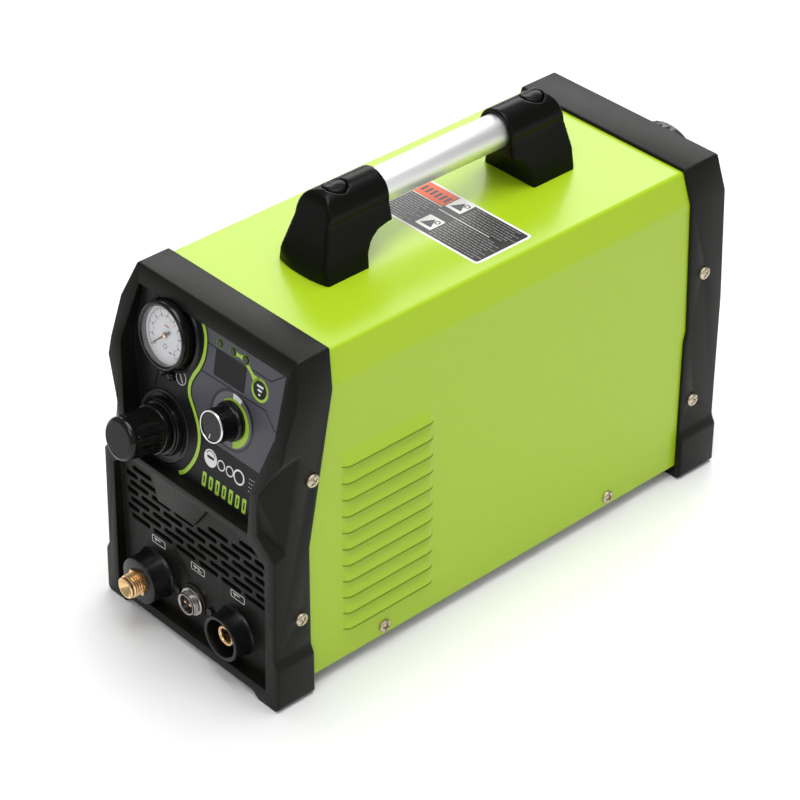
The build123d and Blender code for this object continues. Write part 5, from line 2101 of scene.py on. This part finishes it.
# ------------------------------------------------------------------ studio
@dataclass
class Studio:
    """Pale floor, soft lights and the camera.

    Args:
        camera_at: the camera's place in millimetres, measured from the top front edge.
        heading: turn of the camera about the vertical, in degrees.
        dip: how far it looks down, in degrees.
        roll: turn about its own line of sight, in degrees.
        lens: focal length in millimetres, for a 36 mm wide sensor.
    """

    camera_at: Point3 = (1075.7, -850.5, 1120.7)
    heading: float = -47.342
    dip: float = -34.851
    roll: float = 0.216
    lens: float = 131.54

    def camera(self) -> None:
        """Sets up the camera."""
        yaw, pitch, roll = (math.radians(a) for a in (self.heading, self.dip, self.roll))
        ahead = Vector((math.sin(yaw) * math.cos(pitch), math.cos(yaw) * math.cos(pitch), math.sin(pitch)))
        side = ahead.cross(Vector((0, 0, 1))).normalized()
        top = side.cross(ahead)
        right = side * math.cos(roll) + top * math.sin(roll)
        up = top * math.cos(roll) - side * math.sin(roll)
        data = bpy.data.cameras.new("camera")
        data.lens = self.lens
        data.sensor_width = 36.0
        data.clip_start = 0.05
        data.clip_end = 50.0
        camera = bpy.data.objects.new("camera", data)
        bpy.context.scene.collection.objects.link(camera)
        x, y, z = self.camera_at
        turn = Matrix((right, up, -ahead)).transposed().to_4x4()
        camera.matrix_world = Matrix.Translation(Vector((x, y + FRONT_Y, z)) * MM) @ turn
        bpy.context.scene.camera = camera

    def light(
        self, name: str, place: Point3, size: Point2, power: float, aim: Point3 = (0.0, 0.0, 0.1)
    ) -> None:
        """Adds one soft area light aimed at a point.

        Args:
            name: the light's name.
            place: where it is, in metres.
            size: its width and height in metres.
            power: its power in watts.
            aim: the point it faces.
        """
        data = bpy.data.lights.new(name, "AREA")
        data.shape = "RECTANGLE"
        data.size, data.size_y = size
        data.energy = power
        lamp = bpy.data.objects.new(name, data)
        bpy.context.scene.collection.objects.link(lamp)
        lamp.location = place
        lamp.rotation_mode = "QUATERNION"
        lamp.rotation_quaternion = (Vector(aim) - Vector(place)).to_track_quat("-Z", "Y")

    def floor(self) -> None:
        """Adds the plain floor, which isn't part of the object."""
        half = 6.0
        mesh = bpy.data.meshes.new("floor")
        mesh.from_pydata(
            [(-half, -half, 0), (half, -half, 0), (half, half, 0), (-half, half, 0)], [], [(0, 1, 2, 3)]
        )
        plate = bpy.data.objects.new("floor", mesh)
        bpy.context.scene.collection.objects.link(plate)
        material, _, shader = started("floor_white", (0.96, 0.96, 0.96))
        shader.inputs["Roughness"].default_value = 0.65
        shader.inputs["Specular IOR Level"].default_value = 0.25
        mesh.materials.append(material)

    def build(self) -> None:
        """Sets up everything round the object."""
        scene = bpy.context.scene
        scene.view_settings.view_transform = "Standard"
        world = bpy.data.worlds.new("studio")
        scene.world = world
        world.use_nodes = True
        background = world.node_tree.nodes["Background"]
        background.inputs["Color"].default_value = (1.0, 1.0, 1.0, 1.0)
        background.inputs["Strength"].default_value = 0.34
        self.floor()
        self.light("key", (0.9, -1.6, 1.9), (1.4, 1.2), 15.0)
        self.light("overhead", (0.1, 0.2, 2.2), (1.6, 1.6), 40.0)
        self.light("side", (2.2, 0.6, 0.9), (1.2, 1.2), 3.0)
        self.light("back", (-1.9, 1.9, 1.6), (2.6, 1.2), 36.0)
        self.camera()


# ------------------------------------------------------------------ plainer assemblies
@dataclass
class DressedGroup:
    """A sub-assembly whose own solids are shown with rounded edges or as they are.

    Args:
        shop: the workshop.
        rounded: each rounded node with its finish and the width of its rounding.
        plain: each node shown as it is with its finish.
    """

    shop: Workshop
    rounded: dict[str, tuple[Finish, float]] = field(default_factory=dict)
    plain: dict[str, Finish] = field(default_factory=dict)

    def build(self) -> None:
        """Dresses every node of the group."""
        for node, (finish, width) in self.rounded.items():
            self.shop.softened(node, finish, width)
        for node, finish in self.plain.items():
            self.shop.keep(node, finish)
        log.info("%s: %d nodes", type(self).__name__, len(self.rounded) + len(self.plain))


@dataclass
class Housing(DressedGroup):
    """Both moulded bezels, the tray and a dark sheet inside the cover, painted shade that keeps the slots
    black.
    """

    plain: dict[str, Finish] = field(
        default_factory=lambda: {
            "base_tray": Finish.STEEL,
            "clip_nuts": Finish.STEEL,
            "handle_nuts": Finish.STEEL,
        }
    )

    def build(self) -> None:
        """Dresses the shell and adds the dark sheet of painted shade."""
        super().build()
        for node in ("front_bezel", "rear_bezel"):
            self.shop.edged(node, Finish.BLACK, (1.5, 0.5), BODY_WIDTH / 2, BODY_HEIGHT)
        # A dark sheet just inside the cover's sides and top: painted shade that keeps the slots black.
        work = bmesh.new()
        half, low, high = 73.6, 40.0, 224.4
        corners = [(half, low), (half, 205.0), (67.8, high), (-67.8, high), (-half, 205.0), (-half, low)]
        rows = []
        for x, z in corners:
            rows.append([work.verts.new(Vector((x, FRONT_Y + y, z)) * MM) for y in (14.0, 326.0)])
        for a, b in zip(rows, rows[1:]):
            work.faces.new((a[0], a[1], b[1], b[0]))
        self.shop.add("cover_lining", finished(work, "cover_lining"), Finish.DARK)


@dataclass
class Handle(DressedGroup):
    """The two posts, the tube between them and their plugs and screws.

    Args:
        grip: height of the tube's axis.
        collar: radius of the posts' round tops.
        plug: radius of a plug.
        plug_stations: how far behind the front edge the plugs are.
        post_floor: height the posts stand at.
    """

    rounded: dict[str, tuple[Finish, float]] = field(
        default_factory=lambda: {"handle_tube": (Finish.TUBE, 0.2)}
    )
    plain: dict[str, Finish] = field(default_factory=lambda: {"handle_screws": Finish.STEEL})
    grip: float = 261.0
    collar: float = 14.2
    plug: float = 6.6
    plug_stations: Point2 = (89.6, 246.4)
    post_floor: float = 226.2

    def plugs(self) -> bpy.types.Mesh:
        """Both plugs, their tops following the round tops of the posts.

        Returns:
            Their mesh.
        """
        work = bmesh.new()
        steps = [(0.0, 0.0), (3.0, 0.0), (5.4, 0.0), (6.3, -0.15), (self.plug, -0.5), (self.plug, -5.0)]
        for station in self.plug_stations:
            rings = []
            for radius, drop in steps:
                ring = []
                for x, y in circle_points((0.0, station), max(radius, 0.01), 48):
                    z = self.grip + math.sqrt(self.collar**2 - x**2) - 0.1 + drop
                    ring.append(work.verts.new(Vector((x, FRONT_Y + y, z)) * MM))
                rings.append(ring)
            for low, high in zip(rings, rings[1:]):
                for i in range(48):
                    j = (i + 1) % 48
                    work.faces.new((low[i], low[j], high[j], high[i]))
        return finished(work, "plug_caps", 40.0)

    def build(self) -> None:
        """Dresses the tube and adds the posts and plugs."""
        super().build()
        for node in ("handle_post_front", "handle_post_rear"):
            self.shop.melted(node, Finish.HANDLE, 0.7, 24, self.post_floor, 0.9)
        piece = self.shop.add("plug_caps", self.plugs(), Finish.HANDLE)
        self.shop.stands_for(piece, "handle_plugs")
        log.info("handle posts and plugs added")


@dataclass
class FrontParts(DressedGroup):
    """Front panel parts that need no modelling beyond their solids."""

    rounded: dict[str, tuple[Finish, float]] = field(
        default_factory=lambda: {
            "gauge_case": (Finish.SOCKET, 0.4),
            "signal_gasket": (Finish.RUBBER, 0.3),
            "signal_insert": (Finish.SOCKET, 0.2),
        }
    )
    plain: dict[str, Finish] = field(
        default_factory=lambda: {
            "control_film": Finish.FILM,
            "display_window": Finish.WINDOW,
            "indicator_lights": Finish.LAMP,
            "control_board": Finish.BOARD,
            "gauge_dial": Finish.DIAL,
            "gauge_needle": Finish.DARK,
            "gauge_stem": Finish.BRASS,
            "regulator_body": Finish.SOCKET,
            "regulator_spindle": Finish.STEEL,
            "potentiometer": Finish.STEEL,
            "potentiometer_shaft": Finish.STEEL,
            "potentiometer_nut": Finish.STEEL,
            "signal_pins": Finish.BRASS,
            "connector_nuts": Finish.STEEL,
            "bracket_screws": Finish.SOCKET,
        }
    )


@dataclass
class RearFittings(DressedGroup):
    """Mains switch, cable gland, air inlet and fan."""

    rounded: dict[str, tuple[Finish, float]] = field(
        default_factory=lambda: {
            "switch_knob": (Finish.KNOB, 0.8),
            "cable_gland": (Finish.SOCKET, 0.5),
            "gland_dome": (Finish.SOCKET, 0.5),
            "air_inlet": (Finish.BRASS, 0.3),
        }
    )
    plain: dict[str, Finish] = field(
        default_factory=lambda: {
            "switch_body": Finish.SOCKET,
            "switch_plate": Finish.STEEL,
            "rear_nuts": Finish.STEEL,
            "fan_frame": Finish.SOCKET,
            "fan_rotor": Finish.SOCKET,
        }
    )


@dataclass
class PowerStage(DressedGroup):
    """Board, heat sinks, transformer, choke and valve inside the housing."""

    plain: dict[str, Finish] = field(
        default_factory=lambda: {
            "power_board": Finish.BOARD,
            "heat_sinks": Finish.TUBE,
            "power_transistors": Finish.SOCKET,
            "filter_capacitors": Finish.SOCKET,
            "transformer_core": Finish.FERRITE,
            "transformer_winding": Finish.COPPER,
            "output_choke": Finish.COPPER,
            "solenoid_valve": Finish.BRASS,
        }
    )


def main() -> None:
    """Builds the whole unit and its surroundings."""
    logging.basicConfig(level=logging.INFO)
    shop = Workshop()
    parts = [
        Housing(shop),
        Cover(shop),
        Screws(shop),
        Handle(shop),
        TopLabel(shop),
        FrontParts(shop),
        PanelPrint(shop),
        Gauge(shop),
        RegulatorKnob(shop),
        CurrentKnob(shop),
        Connectors(shop),
        ConnectorMarks(shop),
        RearFittings(shop),
        PowerStage(shop),
    ]
    for part in parts:
        part.build()
    Studio().build()


if __name__ == "__main__":
    main()
